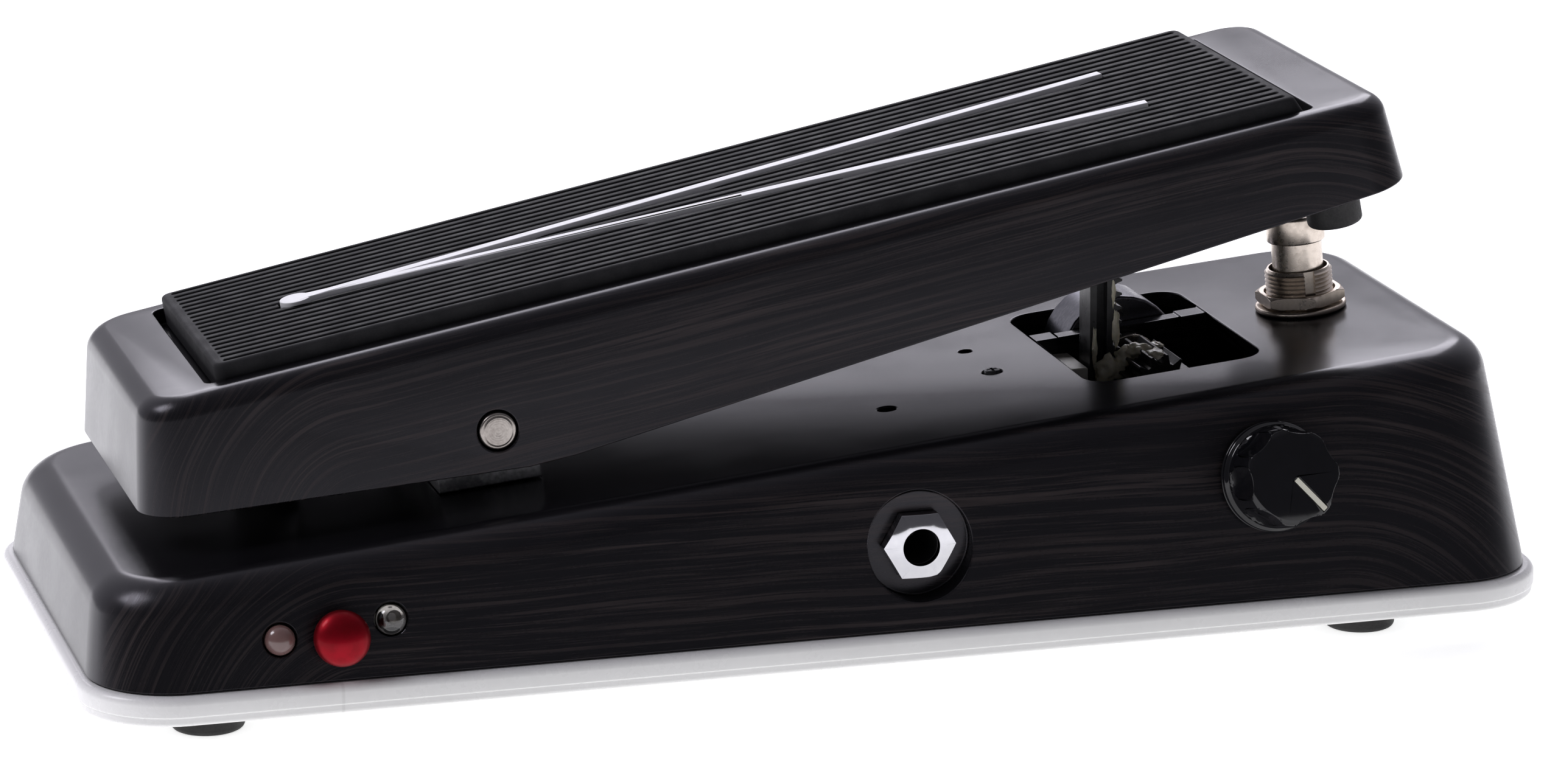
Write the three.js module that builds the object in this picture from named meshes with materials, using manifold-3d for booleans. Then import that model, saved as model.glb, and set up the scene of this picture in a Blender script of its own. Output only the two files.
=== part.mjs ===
// Volume pedal: a rocking treadle on a wedge-shaped housing. Millimetres, +X toward the toe, +Z up,
// z = 0 on the floor under the feet, controls on the -Y side.
import * as THREE from "three";
import { mergeVertices } from "three/addons/utils/BufferGeometryUtils.js";
import Module from "manifold-3d";

const wasm = await Module();
wasm.setup();

// Driving dimensions
const GAP = 0.3; // between neighbouring parts
const WALL = 3; // cast housing wall
const BASE_LENGTH = 252; // housing along its lower edge
const BASE_WIDTH = 105.5;
const BASE_CORNER = 14.7;
const BASE_Z = 9.1; // lower edge of the housing
const SIDE_DRAFT = 0.25; // side walls lean in, mm per mm of height
const HEEL_DRAFT = 0.135;
const TOE_DRAFT = 0.142;
const EDGE_R = 6.3; // rounding between walls and deck
const DECK_Z = 36.84; // deck height over the middle of the base
const DECK_TILT = 5.33; // degrees, rising to the toe
const GASKET_LIP = 1.7;
const GASKET_LEDGE = 1.8;
const GASKET_Z = 4;
const PLATE_T = 1.5;
const FOOT_D = 12.2;
const FOOT_SPOTS = [[-106.6, 42.2], [95, 42.2]];
const SCREW_D = 3;
const PAD_Z = 75.47; // pad surface over the middle of the base, treadle at rest
const PAD_TILT = 10.51; // degrees, heel down
const TREADLE_WALL = 2.3;
const TREADLE_TOP = -2.7; // rim, below the pad surface
const TREADLE_EDGE_R = 3.3;
const TREADLE_CORNER = 8;
const TREADLE_REF = -20; // depth at which the four sizes below are taken
const TREADLE_HEEL = -120.2;
const TREADLE_TOE = 104.3;
const TREADLE_W_HEEL = 33.5;
const TREADLE_W_TOE = 38.5;
const SKIRT = [[-120.2, -20.9], [-56, -27.7], [-48, -27.7], [102.3, -18]]; // lower edge, along and depth
const PLATE_UNDER = -8; // underside of the treadle's top
const RECESS_FLOOR = -5.5;
const PAD_HEEL = -102.6;
const PAD_TOE = 89.8;
const PAD_W_HEEL = 25.6;
const PAD_W_TOE = 30.9;
const PAD_GAP = 1.9; // between pad and rim at the heel
const RIBS = 19;
const AXLE_AT = [-60, -20.5]; // along the treadle, depth
const AXLE_D = 6.3;
const BRACKET_HALF = 24; // half width of the pivot bracket
const BRACKET_LENGTH = 18;
const WINDOW = [52.2, 84.2, -24.5, 25]; // along the deck, across
const DIVIDER = [7.75, 11];
const SWITCH_AT = 99.7;
const SWITCH_THREAD = 12;
const SWITCH_BARREL_TOP = 7.7; // above the deck
const SWITCH_CAP = [12.6, 17.5];
const MODULE = 0.8; // gear tooth size
const PINION_TEETH = 13;
const PINION_AT = [69.4, 36.6]; // world x, z
const RACK_HALF = 3; // half width of the rack
const RACK_BODY = 4.4; // thickness behind the teeth
const RACK_PIN_Z = 70.5;
const RACK_PIN_D = 3;
const JACK_AT = [13.6, 22.7];
const JACK_RECESS_D = 18.2;
const JACK_FLOOR = 46.9; // recess floor, from the middle plane
const JACK_BORE = 6.4;
const JACK_THREAD = 9.2;
const JACK_NUT = JACK_THREAD + 1.8; // across flats
const JACK_NUT_DEEP = 1.9; // threaded depth of the nut, behind its bevelled face
const LED_D = 5;
const LED_SPOTS = [[-95.9, 16.4], [-77.3, 18.2]];
const BUTTON_AT = [-86.2, 16];
const BUTTON_D = 9.3;
const KNOB_AT = [76.6, 29.4];
const KNOB_D = 18.9;
const KNOB_FACE_D = 16.7;
const KNOB_H = 11.3;
const KNOB_FLUTES = 7;
const KNOB_POINTS = -48; // degrees, the pointer and the ridge under it
const SHAFT_D = 6;
const KNOB_POT_D = 12.4;
const BUMPER_AT = [93.2, 24]; // along the treadle, across
const BUMPER_D = 9.6;
const HEEL_STOP_AT = -95;
const BATTERY = [48.5, 26.5, 17.5];
const FULL = 2 * Math.PI;

const COLOUR = {
  shell: 0x1d1c1e, rubber: 0x18181a, white: 0xf3f2ee, nickel: 0xa59c90, chrome: 0xc8cacd,
  steel: 0x8d8f92, red: 0xb3122b, amber: 0x7b4c43, clear: 0xb7babd,
  board: 0x24523b, cell: 0x2c2e33, plastic: 0x141416, nylon: 0xd9d6cc, cast: 0x6d6e72,
};

// Shape helpers
const rad = THREE.MathUtils.degToRad;
const range = (n) => Array.from({ length: n }, (_, i) => i);

function solid(geometry) {
  const g = geometry.clone();
  g.deleteAttribute("normal");
  g.deleteAttribute("uv");
  const merged = mergeVertices(g, 1e-4);
  const index = merged.index.array;
  const triVerts = range(index.length / 3)
    .map((i) => [index[3 * i], index[3 * i + 1], index[3 * i + 2]])
    .filter(([a, b, c]) => a !== b && b !== c && c !== a)
    .flat();
  return new wasm.Manifold(new wasm.Mesh({
    numProp: 3,
    vertProperties: new Float32Array(merged.attributes.position.array),
    triVerts: new Uint32Array(triVerts),
  }));
}

const join = (...geometries) => geometries.map(solid).reduce((a, b) => a.add(b));
const cut = (from, ...geometries) => geometries.map(solid).reduce((a, b) => a.subtract(b), from);

function shape(manifold) {
  const mesh = manifold.getMesh();
  const g = new THREE.BufferGeometry();
  g.setAttribute("position", new THREE.BufferAttribute(new Float32Array(mesh.vertProperties), 3));
  g.setIndex(new THREE.BufferAttribute(new Uint32Array(mesh.triVerts), 1));
  return g;
}

// box between two x, two y and two z values
function box(x0, x1, y0, y1, z0, z1) {
  return new THREE.BoxGeometry(x1 - x0, y1 - y0, z1 - z0)
    .translate((x0 + x1) / 2, (y0 + y1) / 2, (z0 + z1) / 2);
}

// upright rod, or one lying along Y
const rod = (d, z0, z1, sides = 28) =>
  new THREE.CylinderGeometry(d / 2, d / 2, z1 - z0, sides).rotateX(Math.PI / 2)
    .translate(0, 0, (z0 + z1) / 2);
const rodY = (d, x, z, y0, y1, sides = 28) =>
  new THREE.CylinderGeometry(d / 2, d / 2, y1 - y0, sides).translate(x, (y0 + y1) / 2, z);

// closed profile of [radius, height] turned about Z
const turned = (profile, sides = 28) =>
  new THREE.LatheGeometry([...profile, profile[0]].map((p) => new THREE.Vector2(...p)), sides)
    .rotateX(Math.PI / 2);

const prism = (points, z0, z1) =>
  new THREE.ExtrudeGeometry(new THREE.Shape(points), { depth: z1 - z0, bevelEnabled: false })
    .translate(0, 0, z0);

// side profile of [x, z] points, extruded along Y
const across = (points, y0, y1) =>
  new THREE.ExtrudeGeometry(new THREE.Shape(points.map((p) => new THREE.Vector2(...p))),
    { depth: y1 - y0, bevelEnabled: false }).rotateX(Math.PI / 2).translate(0, y1, 0);

const polygon = (sides, radius, turn = 0) =>
  range(sides).map((i) => new THREE.Vector2(
    radius * Math.cos(turn + (i * FULL) / sides), radius * Math.sin(turn + (i * FULL) / sides)));
const hexagon = (flats, z0, z1, turn = 30) =>
  prism(polygon(6, flats / Math.sqrt(3), rad(turn)), z0, z1);

// plan outline: a trapezoid with rounded corners, counterclockwise
function outline(heel, toe, wHeel, wToe, radius, steps = 6) {
  const corners = [[toe, -wToe], [toe, wToe], [heel, wHeel], [heel, -wHeel]]
    .map((p) => new THREE.Vector2(...p));
  return corners.flatMap((p, i) => {
    const a = corners[(i + 3) % 4].clone().sub(p).normalize();
    const b = corners[(i + 1) % 4].clone().sub(p).normalize();
    const half = Math.acos(a.dot(b)) / 2;
    const centre = a.clone().add(b).normalize().multiplyScalar(radius / Math.sin(half)).add(p);
    const from = a.clone().multiplyScalar(radius / Math.tan(half)).add(p);
    return range(steps + 1).map((k) =>
      from.clone().rotateAround(centre, ((Math.PI - 2 * half) * k) / steps));
  });
}

// solid through rings of the same number of points, lowest first; heights may vary along a ring
function loft(rings) {
  const n = rings[0].length;
  const middle = (ring) => ring.reduce((s, p) => s.map((v, k) => v + p[k] / n), [0, 0, 0]);
  const points = [...rings.flat(), middle(rings[0]), middle(rings.at(-1))];
  const low = n * rings.length;
  const top = low - n;
  const faces = range(n).flatMap((i) => {
    const j = (i + 1) % n;
    const sides = range(rings.length - 1).flatMap((k) => {
      const [a, b, c, d] = [k * n + i, k * n + j, (k + 1) * n + j, (k + 1) * n + i];
      return [a, b, c, a, c, d];
    });
    return [...sides, j, i, low, top + i, top + j, low + 1];
  });
  const g = new THREE.BufferGeometry();
  g.setAttribute("position", new THREE.Float32BufferAttribute(points.flat(), 3));
  g.setIndex(faces);
  return g;
}

// Frames: the deck's and the treadle's planes are tilted, wall fittings stand square to the wall
const slope = Math.tan(rad(DECK_TILT));
const deckZ = (x) => DECK_Z + x * slope;
const wallHalf = (z) => BASE_WIDTH / 2 - SIDE_DRAFT * (z - BASE_Z);
const wallLean = Math.atan(SIDE_DRAFT);

function frame(parent, x, y, z, tilt = 0) {
  const g = new THREE.Group();
  g.position.set(x, y, z);
  g.rotation.y = -rad(tilt);
  parent.add(g);
  g.updateMatrix();
  return g;
}
const pedal = new THREE.Group();
const body = frame(pedal, 0, 0, 0);
const deck = frame(body, 0, 0, DECK_Z, DECK_TILT);
const treadle = frame(body, 0, 0, PAD_Z, PAD_TILT);

function wallFrame([x, z], side = -1) {
  const g = frame(body, x, side * wallHalf(z), z);
  g.rotation.set(-side * (Math.PI / 2 - wallLean), 0, 0);
  g.updateMatrix();
  return g;
}
const placed = (geometry, group) => geometry.clone().applyMatrix4(group.matrix);

function node(name, colour, made, parent = body, finish = {}) {
  const material = new THREE.MeshStandardMaterial({ color: COLOUR[colour], roughness: 0.4, ...finish });
  const mesh = new THREE.Mesh(shape(made), material);
  mesh.name = name;
  parent.add(mesh);
  return mesh;
}

// Housing: wedge with drafted walls and a rounded upper edge
const wallTop = EDGE_R * (1 - Math.sin(wallLean));
function housingRing(inset, depth) {
  const zHeel = deckZ(-BASE_LENGTH / 2) - wallTop;
  const zToe = deckZ(BASE_LENGTH / 2) - wallTop;
  const plan = outline(
    -BASE_LENGTH / 2 + HEEL_DRAFT * (zHeel - BASE_Z) + inset,
    BASE_LENGTH / 2 - TOE_DRAFT * (zToe - BASE_Z) - inset,
    wallHalf(zHeel) - inset, wallHalf(zToe) - inset, BASE_CORNER - Math.min(inset, 8));
  return plan.map((p) => [p.x, p.y, deckZ(p.x) - depth]);
}
const footprint = (inset) => outline(-BASE_LENGTH / 2 + inset, BASE_LENGTH / 2 - inset,
  BASE_WIDTH / 2 - inset, BASE_WIDTH / 2 - inset, BASE_CORNER - inset);
const level = (points, z) => points.map((p) => [p.x, p.y, z]);

const edge = range(5).map((i) => {
  const a = wallLean + ((Math.PI / 2 - wallLean) * i) / 4;
  return housingRing(EDGE_R * (Math.cos(wallLean) - Math.cos(a)), EDGE_R * (1 - Math.sin(a)));
});
const spots = FOOT_SPOTS.flatMap(([x, y]) => [[x, -y], [x, y]]);
const BOSS_TOP = 19;
const bossWeb = wallHalf(BOSS_TOP) - WALL / 2;
const ends = [-1, 1];
const span = (s, a, b) => [Math.min(s * a, s * b), Math.max(s * a, s * b)];
const axlePoint = new THREE.Vector3(AXLE_AT[0], 0, AXLE_AT[1]).applyMatrix4(treadle.matrix);
const axleDeck = axlePoint.clone().applyMatrix4(deck.matrix.clone().invert());
const bracketScrews = [-14, 14];
const deckHoles = [[17.05, -18.4, 3.3], [39.5, 8, 2.4], [39.7, -7.1, SCREW_D + 2 * GAP]];
const leds = LED_SPOTS.map((at) => wallFrame(at));
const buttonFrame = wallFrame(BUTTON_AT);
const knobFrame = wallFrame(KNOB_AT);
const LED_HOLE = LED_D + 2 * GAP;
const BUTTON_STEM = BUTTON_D - 3.6;
const BUSHING = 7;
const POT_BUSHING = 7.2;

const casting = solid(loft([level(footprint(0), BASE_Z), ...edge]));
let housing = cut(casting, loft([
  level(footprint(WALL), BASE_Z - 1), level(footprint(WALL), BASE_Z),
  housingRing(WALL, wallTop + 1), housingRing(WALL + 3.5, WALL)]));
const [windowHeel, windowToe, windowNear, windowFar] = WINDOW;
const windowHalf = (windowFar - windowNear) / 2;
housing = cut(housing, placed(prism(outline(windowHeel, windowToe, windowHalf, windowHalf, 4.8), -12, 8)
  .translate(0, windowNear + windowHalf, 0), deck));
housing = housing.add(join(
  placed(box(windowHeel - 1, windowToe + 1, ...DIVIDER, -23, -0.3), deck),
  ...spots.map(([x, y]) => rod(9, GASKET_Z + PLATE_T + 0.8, BOSS_TOP).translate(x, y, 0)),
  ...spots.map(([x, y]) => box(x - 1.5, x + 1.5, ...span(Math.sign(y), FOOT_SPOTS[0][1], bossWeb),
    BASE_Z, BOSS_TOP))));
housing = housing.add(join(...ends.map((s) =>
  rodY(JACK_RECESS_D + 4, ...JACK_AT, ...span(s, JACK_FLOOR - WALL, 60), 40))).intersect(casting));
housing = cut(housing,
  ...spots.map(([x, y]) => rod(SCREW_D + 2 * GAP, 0, 17).translate(x, y, 0)),
  ...deckHoles.map(([x, y, d]) => placed(rod(d, -8, 4, 16).translate(x, y, 0), deck)),
  ...bracketScrews.map((y) => placed(rod(SCREW_D + 2 * GAP, -8, 4, 16)
    .translate(axleDeck.x, y, 0), deck)),
  placed(rod(SWITCH_THREAD + 2 * GAP, -8, 4).translate(SWITCH_AT, 0, 0), deck),
  rodY(POT_BUSHING + 2 * GAP, ...PINION_AT, DIVIDER[0] - 2, DIVIDER[1] + 2),
  ...ends.flatMap((s) => [[JACK_RECESS_D, JACK_FLOOR], [JACK_THREAD + 2 * GAP, JACK_FLOOR - 7]]
    .map(([d, from]) => rodY(d, ...JACK_AT, ...span(s, from, 60), 40))),
  ...leds.map((g) => placed(rod(LED_HOLE, -8, 4), g)),
  placed(rod(BUTTON_STEM + 2 * GAP, -8, 4), buttonFrame),
  placed(rod(BUSHING + 2 * GAP, -8, 4), knobFrame));
node("housing", "shell", housing, body, { roughness: 0.42 });

// Gasket, base plate, feet and their screws
const lip = (z, grow) => level(footprint(-grow), z);
node("base_gasket", "white", cut(
  solid(loft([lip(GASKET_Z, GASKET_LIP - 0.8), lip(GASKET_Z + 0.8, GASKET_LIP),
    lip(BASE_Z - 1, GASKET_LIP), lip(BASE_Z - 0.2, GASKET_LIP - 0.8)])),
  prism(footprint(GASKET_LEDGE), 0, BASE_Z + 2)), body, { roughness: 0.25 });
const PLATE_Z = GASKET_Z + 0.2;
node("base_plate", "steel", cut(
  solid(prism(footprint(GASKET_LEDGE + GAP), PLATE_Z, PLATE_Z + PLATE_T)),
  ...spots.map(([x, y]) => rod(SCREW_D + 2 * GAP, 0, 9, 16).translate(x, y, 0))));
const HEAD_D = 6.4;
spots.forEach(([x, y], i) => {
  const spot = frame(body, x, y, 0);
  node(`foot_${i + 1}`, "rubber", solid(turned([
    [HEAD_D / 2 + GAP, 0], [FOOT_D / 2 - 0.6, 0], [FOOT_D / 2, 0.6], [FOOT_D / 2, PLATE_Z - 0.2],
    [SCREW_D / 2 + GAP, PLATE_Z - 0.2], [SCREW_D / 2 + GAP, 2.7], [HEAD_D / 2 + GAP, 2.7]])), spot);
  node(`base_screw_${i + 1}`, "steel", cut(solid(turned([
    [0, 0.9], [HEAD_D / 2 - 0.5, 0.9], [HEAD_D / 2, 1.4], [HEAD_D / 2, 2.5], [SCREW_D / 2, 2.5],
    [SCREW_D / 2, 15], [SCREW_D / 2 - 0.7, 16], [0, 16]], 20)),
    box(-2, 2, -0.35, 0.35, 0, 1.7), box(-0.35, 0.35, -2, 2, 0, 1.7)), spot, { metalness: 1 });
});

// Sockets: threaded bushing through the recess floor, moulded body behind it
for (const [name, side] of [["input", -1], ["output", 1]]) {
  const g = frame(body, JACK_AT[0], side * JACK_FLOOR, JACK_AT[1]);
  g.rotation.set(-side * Math.PI / 2, 0, 0);
  const back = -(WALL + GAP);
  node(`${name}_jack`, "plastic", cut(
    join(rod(JACK_THREAD, back - 1, JACK_NUT_DEEP - GAP), box(-7.5, 7.5, -6.7, 6.7, back - 21, back)),
    rod(JACK_BORE, back - 19, 4)), g);
  node(`${name}_jack_nut`, "chrome", cut(
    solid(turned([[0, GAP], [JACK_NUT / 2 + 0.85, GAP], [JACK_NUT / 2 + 0.85, 2.2], [JACK_BORE / 2, 3.3],
      [0, 3.3]], 36)).intersect(solid(hexagon(JACK_NUT, 0, 4, 0))),
    rod(JACK_THREAD + 2 * GAP, -1, JACK_NUT_DEEP), rod(JACK_BORE, -1, 5)), g, { metalness: 1 });
}

// Lamps, push button and knob on the -Y wall
leds.forEach((g, i) => node(`led_${i + 1}`, ["amber", "clear"][i], solid(turned([
  [0, -9], [LED_D / 2, -9], [LED_D / 2, 0.3], [LED_D * 0.45, 1.1], [LED_D * 0.3, 1.8],
  [LED_D * 0.14, 2.1], [0, 2.2]], 24)), g, { roughness: 0.1 }));
const BUTTON_TRAVEL = 1.8;
const capBase = BUTTON_TRAVEL + GAP;
node("button_cap", "red", solid(turned([
  [0, -8.2], [BUTTON_STEM / 2, -8.2], [BUTTON_STEM / 2, capBase], [BUTTON_D / 2, capBase],
  [BUTTON_D / 2, capBase + 1.6], [BUTTON_D * 0.45, capBase + 2.7], [BUTTON_D * 0.33, capBase + 3.5],
  [BUTTON_D * 0.17, capBase + 3.95], [0, capBase + 4.1]], 32)), buttonFrame, { metalness: 0.7 });
node("button_switch", "plastic", cut(solid(box(-5, 5, -5, 5, -15, -WALL - GAP)),
  rod(BUTTON_STEM + 2 * GAP, -8.2 - BUTTON_TRAVEL - GAP, 0)), buttonFrame);
const KNOB_BASE = 0.5;
const flute = (i) => {
  const a = rad(KNOB_POINTS) + ((i + 0.5) * FULL) / KNOB_FLUTES;
  return rod(16, KNOB_BASE + 2.4, 30, 48).translate(
    (KNOB_FACE_D / 2 + 7.1) * Math.cos(a), (KNOB_FACE_D / 2 + 7.1) * Math.sin(a), 0);
};
node("knob", "plastic", cut(solid(turned([
  [0, KNOB_BASE], [KNOB_D / 2, KNOB_BASE], [KNOB_D / 2, KNOB_BASE + 1.8],
  [KNOB_FACE_D / 2 + 0.5, KNOB_BASE + 3], [KNOB_FACE_D / 2, KNOB_H - 1],
  [KNOB_FACE_D / 2 - 1, KNOB_H], [0, KNOB_H]], 54)),
  rod(13, -1, KNOB_BASE + 3.6), rod(SHAFT_D + 2 * GAP, 0, KNOB_H - 2.5), ...range(KNOB_FLUTES).map(flute),
  box(0.2, KNOB_FACE_D / 2, -0.75, 0.75, KNOB_H - 0.6, 20).rotateZ(rad(KNOB_POINTS))), knobFrame,
{ roughness: 0.12 });
node("knob_pointer", "white", solid(box(0.5, KNOB_FACE_D / 2 - 0.6, -0.45, 0.45, KNOB_H - 0.4, KNOB_H)
  .rotateZ(rad(KNOB_POINTS))), knobFrame);
node("knob_pot", "steel", join(rod(KNOB_POT_D, -13, -WALL - GAP), rod(BUSHING, -4, 2.4),
  rod(SHAFT_D, 1, KNOB_H - 3), box(-5, 5, -15, -6, -9, -WALL - GAP - 2)), knobFrame, { metalness: 1 });
node("knob_pot_nut", "nickel", cut(solid(hexagon(10, GAP, 2.3)), rod(BUSHING + 2 * GAP, -1, 4)),
  knobFrame, { metalness: 1 });

// Toe switch, standing square to the deck
const toe = frame(deck, SWITCH_AT, 0, 0);
const SWITCH_BORE = SWITCH_THREAD - 1.6;
const SWITCH_NUT = SWITCH_THREAD + 2;
const SWITCH_NECK = SWITCH_BORE / 2 - 0.7;
node("toe_switch", "nickel", cut(join(rod(SWITCH_THREAD, -5, SWITCH_BARREL_TOP, 40),
  box(-9, 9, -7.5, 7.5, -22, -WALL - GAP)), rod(SWITCH_BORE, -12, 12, 40),
  box(-0.95, 0.95, -SWITCH_THREAD / 2 - 1, 0.7 - SWITCH_THREAD / 2, 1, 12)), toe, { metalness: 1 });
node("toe_switch_nut", "nickel", cut(solid(turned([[0, 1.4], [SWITCH_NUT / 2 + 0.3, 1.4],
  [SWITCH_NUT / 2 + 1.1, 1.8], [SWITCH_NUT / 2 + 1.1, 3.1], [SWITCH_NUT / 2 + 0.2, 3.6], [0, 3.6]], 36))
  .intersect(solid(hexagon(SWITCH_NUT, 0, 6))), rod(SWITCH_THREAD + 2 * GAP, 0, 8)), toe, { metalness: 1 });
node("toe_switch_washer", "nickel", cut(solid(rod(SWITCH_NUT + 2.2, 0.2, 1.1, 40)),
  rod(SWITCH_THREAD + 2 * GAP, -1, 3)), toe, { metalness: 1 });
node("toe_switch_plunger", "nickel", solid(turned([[0, -6], [SWITCH_NECK, -6], [SWITCH_NECK, SWITCH_CAP[0]],
  [SWITCH_NECK + 0.7, SWITCH_CAP[0] + 0.3], [SWITCH_NECK + 0.7, SWITCH_CAP[1] - 0.6],
  [SWITCH_NECK + 0.1, SWITCH_CAP[1]], [0, SWITCH_CAP[1]]], 32)),
toe, { metalness: 1 });
node("deck_plug", "plastic", solid(turned([[0, -4], [SCREW_D / 2, -4], [SCREW_D / 2, 0.1],
  [SCREW_D / 2 - 0.5, 0.5], [0, 0.5]], 16)), frame(deck, deckHoles[2][0], deckHoles[2][1], 0));

// Pivot: bracket on the deck, axle through the treadle's skirts, flanged bushings
const pivot = frame(deck, axleDeck.x, 0, 0);
const BUSH_D = AXLE_D + 2.7;
const BUSH_DEEP = 6;
const half = BRACKET_LENGTH / 2;
node("pivot_bracket", "cast", cut(join(
  across([[-half, 0.2], [half, 0.2], [half, 4], [7, axleDeck.z], [-7, axleDeck.z], [-half, 4]],
    -BRACKET_HALF, BRACKET_HALF),
  rodY(BUSH_D + 5, 0, axleDeck.z, -BRACKET_HALF, BRACKET_HALF, 40)),
  rodY(AXLE_D + 2 * GAP, 0, axleDeck.z, -30, 30),
  ...ends.map((s) => rodY(BUSH_D + 2 * GAP, 0, axleDeck.z, ...span(s, BRACKET_HALF - BUSH_DEEP - GAP, 30))),
  ...bracketScrews.map((y) => rod(SCREW_D + 2 * GAP, -1, 6.4, 16).translate(0, y, 0)),
  rod(5 + 2 * GAP, 0, 20, 24).rotateY(Math.PI / 2).translate(3.8, 0, axleDeck.z - 7)), pivot);
node("axle", "nickel", solid(turned([[0, -35.4], [AXLE_D / 2 - 0.7, -35.4], [AXLE_D / 2, -34.9],
  [AXLE_D / 2, 34.9], [AXLE_D / 2 - 0.7, 35.4], [0, 35.4]]).rotateX(Math.PI / 2)
  .translate(0, 0, axleDeck.z)), pivot, { metalness: 1 });
ends.forEach((s, i) => node(`axle_bushing_${i + 1}`, "nylon", cut(join(
  rodY(BUSH_D, 0, axleDeck.z, ...span(s, BRACKET_HALF - BUSH_DEEP, BRACKET_HALF + 1)),
  rodY(BUSH_D + 3, 0, axleDeck.z, ...span(s, BRACKET_HALF + GAP, BRACKET_HALF + 1.6))),
rodY(AXLE_D + 2 * GAP, 0, axleDeck.z, -30, 30)), pivot));
bracketScrews.forEach((y, i) => node(`bracket_screw_${i + 1}`, "steel", solid(turned([
  [0, -WALL - GAP - 2], [3.2, -WALL - GAP - 2], [3.2, -WALL - GAP], [SCREW_D / 2, -WALL - GAP],
  [SCREW_D / 2, 5.6], [0, 5.6]], 20)), frame(pivot, 0, y, 0), { metalness: 1 }));
node("tension_bolt", "steel", join(rod(5, 4.1, 10, 24), hexagon(8, 9.6, 13))
  .rotate([0, 90, 0]).translate([0, 0, axleDeck.z - 7]), pivot, { metalness: 1 });

// Treadle: drafted shell with a V-shaped lower edge, a pad recess, axle bosses, rack lugs and stops
function treadleRing(depth, inset) {
  const d = TREADLE_REF - depth;
  const plan = outline(TREADLE_HEEL - 0.23 * d + inset, TREADLE_TOE + 0.07 * d - inset,
    TREADLE_W_HEEL + 0.115 * d - inset, TREADLE_W_TOE + 0.135 * d - inset,
    TREADLE_CORNER - Math.min(inset, 5));
  return level(plan, depth);
}
const rimArc = range(5).map((i) => {
  const a = ((Math.PI / 2) * i) / 4;
  return treadleRing(TREADLE_TOP - TREADLE_EDGE_R * (1 - Math.sin(a)),
    TREADLE_EDGE_R * (1 - Math.cos(a)));
});
const skirtHalf = (u, depth) => {
  const t = (u - TREADLE_HEEL) / (TREADLE_TOE - TREADLE_HEEL);
  return THREE.MathUtils.lerp(TREADLE_W_HEEL, TREADLE_W_TOE, t) + 0.12 * (TREADLE_REF - depth);
};
const [AU, AH] = AXLE_AT;
const axleOuter = skirtHalf(AU, AH) - 0.4;
const pinWorld = new THREE.Vector3(PINION_AT[0] - (MODULE * PINION_TEETH) / 2 - MODULE - RACK_BODY / 2 - 0.15,
  0, RACK_PIN_Z);
const rackPin = pinWorld.clone().applyMatrix4(treadle.matrix.clone().invert());
const lug = (s) => [across([[rackPin.x - 4.5, PLATE_UNDER + 1], [rackPin.x - 4, rackPin.z],
  [rackPin.x + 4, rackPin.z], [rackPin.x + 4.5, PLATE_UNDER + 1]].reverse(),
...span(s, RACK_HALF + GAP, RACK_HALF + 2.6)),
rodY(8, rackPin.x, rackPin.z, ...span(s, RACK_HALF + GAP, RACK_HALF + 2.6))];
const bumpers = ends.map((s) => [BUMPER_AT[0], s * BUMPER_AT[1]]);
const BUMPER_SEAT = -15.8;
const BUMPER_TIP = -25.8;
const HEEL_BOSS = -23.4;
let shell = cut(solid(loft([treadleRing(-31, 0), treadleRing(TREADLE_TOP - TREADLE_EDGE_R, 0),
  ...rimArc.slice(1)])),
loft([treadleRing(-33, TREADLE_WALL), treadleRing(PLATE_UNDER, TREADLE_WALL)]));
shell = shell.add(join(
  ...ends.map((s) => rodY(AXLE_D + 6.7, AU, AH, ...span(s, BRACKET_HALF + 2.2, skirtHalf(AU, AH) - 1))),
  ...ends.flatMap(lug),
  ...bumpers.map(([u, y]) => rod(11, BUMPER_SEAT, PLATE_UNDER + 1).translate(u, y, 0)),
  rod(10, HEEL_BOSS, PLATE_UNDER + 1).translate(HEEL_STOP_AT, 0, 0)));
shell = cut(shell,
  across([...SKIRT, [130, -16.2], [130, -40], [-140, -40], [-140, -18.8]].reverse(), -60, 60),
  prism(outline(PAD_HEEL - PAD_GAP, PAD_TOE + 0.6, PAD_W_HEEL + 0.4, PAD_W_TOE + 0.4, 1.6, 3), RECESS_FLOOR, 2),
  rodY(AXLE_D + 2 * GAP, AU, AH, -60, 60),
  rodY(RACK_PIN_D + 2 * GAP, rackPin.x, rackPin.z, -9, 9, 20),
  ...bumpers.map(([u, y]) => rod(4 + 2 * GAP, BUMPER_SEAT - 1, BUMPER_SEAT + 6, 20).translate(u, y, 0)));
node("treadle", "shell", shell, treadle, { roughness: 0.42 });

// Pad with lengthwise ribs, and the raised hairpin that opens toward the toe
const padAt = (t, f) => {
  const u = THREE.MathUtils.lerp(PAD_HEEL, PAD_TOE, t);
  return new THREE.Vector2(u, f * THREE.MathUtils.lerp(PAD_W_HEEL, PAD_W_TOE, t));
};
const strip = (a, b, w0, w1, z0, z1) => {
  const n = b.clone().sub(a).normalize().rotateAround(new THREE.Vector2(), Math.PI / 2);
  const off = (p, w) => p.clone().addScaledVector(n, w);
  return prism([off(a, -w0), off(b, -w1), off(b, w1), off(a, w0)], z0, z1);
};
const GROOVE = 0.85;
const ribEdge = (i) => -0.93 + (1.86 * i) / RIBS;
const hairpin = (grow, z0, z1) => [-1, 1].map((s) =>
  strip(padAt(0.1, -0.02 * s), padAt(0.88, 0.42 * s), 1.1 + grow, 1.1 + grow, z0, z1))
  .concat(rod(5.4 + 2 * grow, z0, z1).translate(padAt(0.1, 0).x, 0, 0));
const padRing = (grow, z) => level(outline(PAD_HEEL + grow, PAD_TOE - 3.2 * grow,
  PAD_W_HEEL - grow, PAD_W_TOE - grow, 1.8, 3), z);
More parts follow.
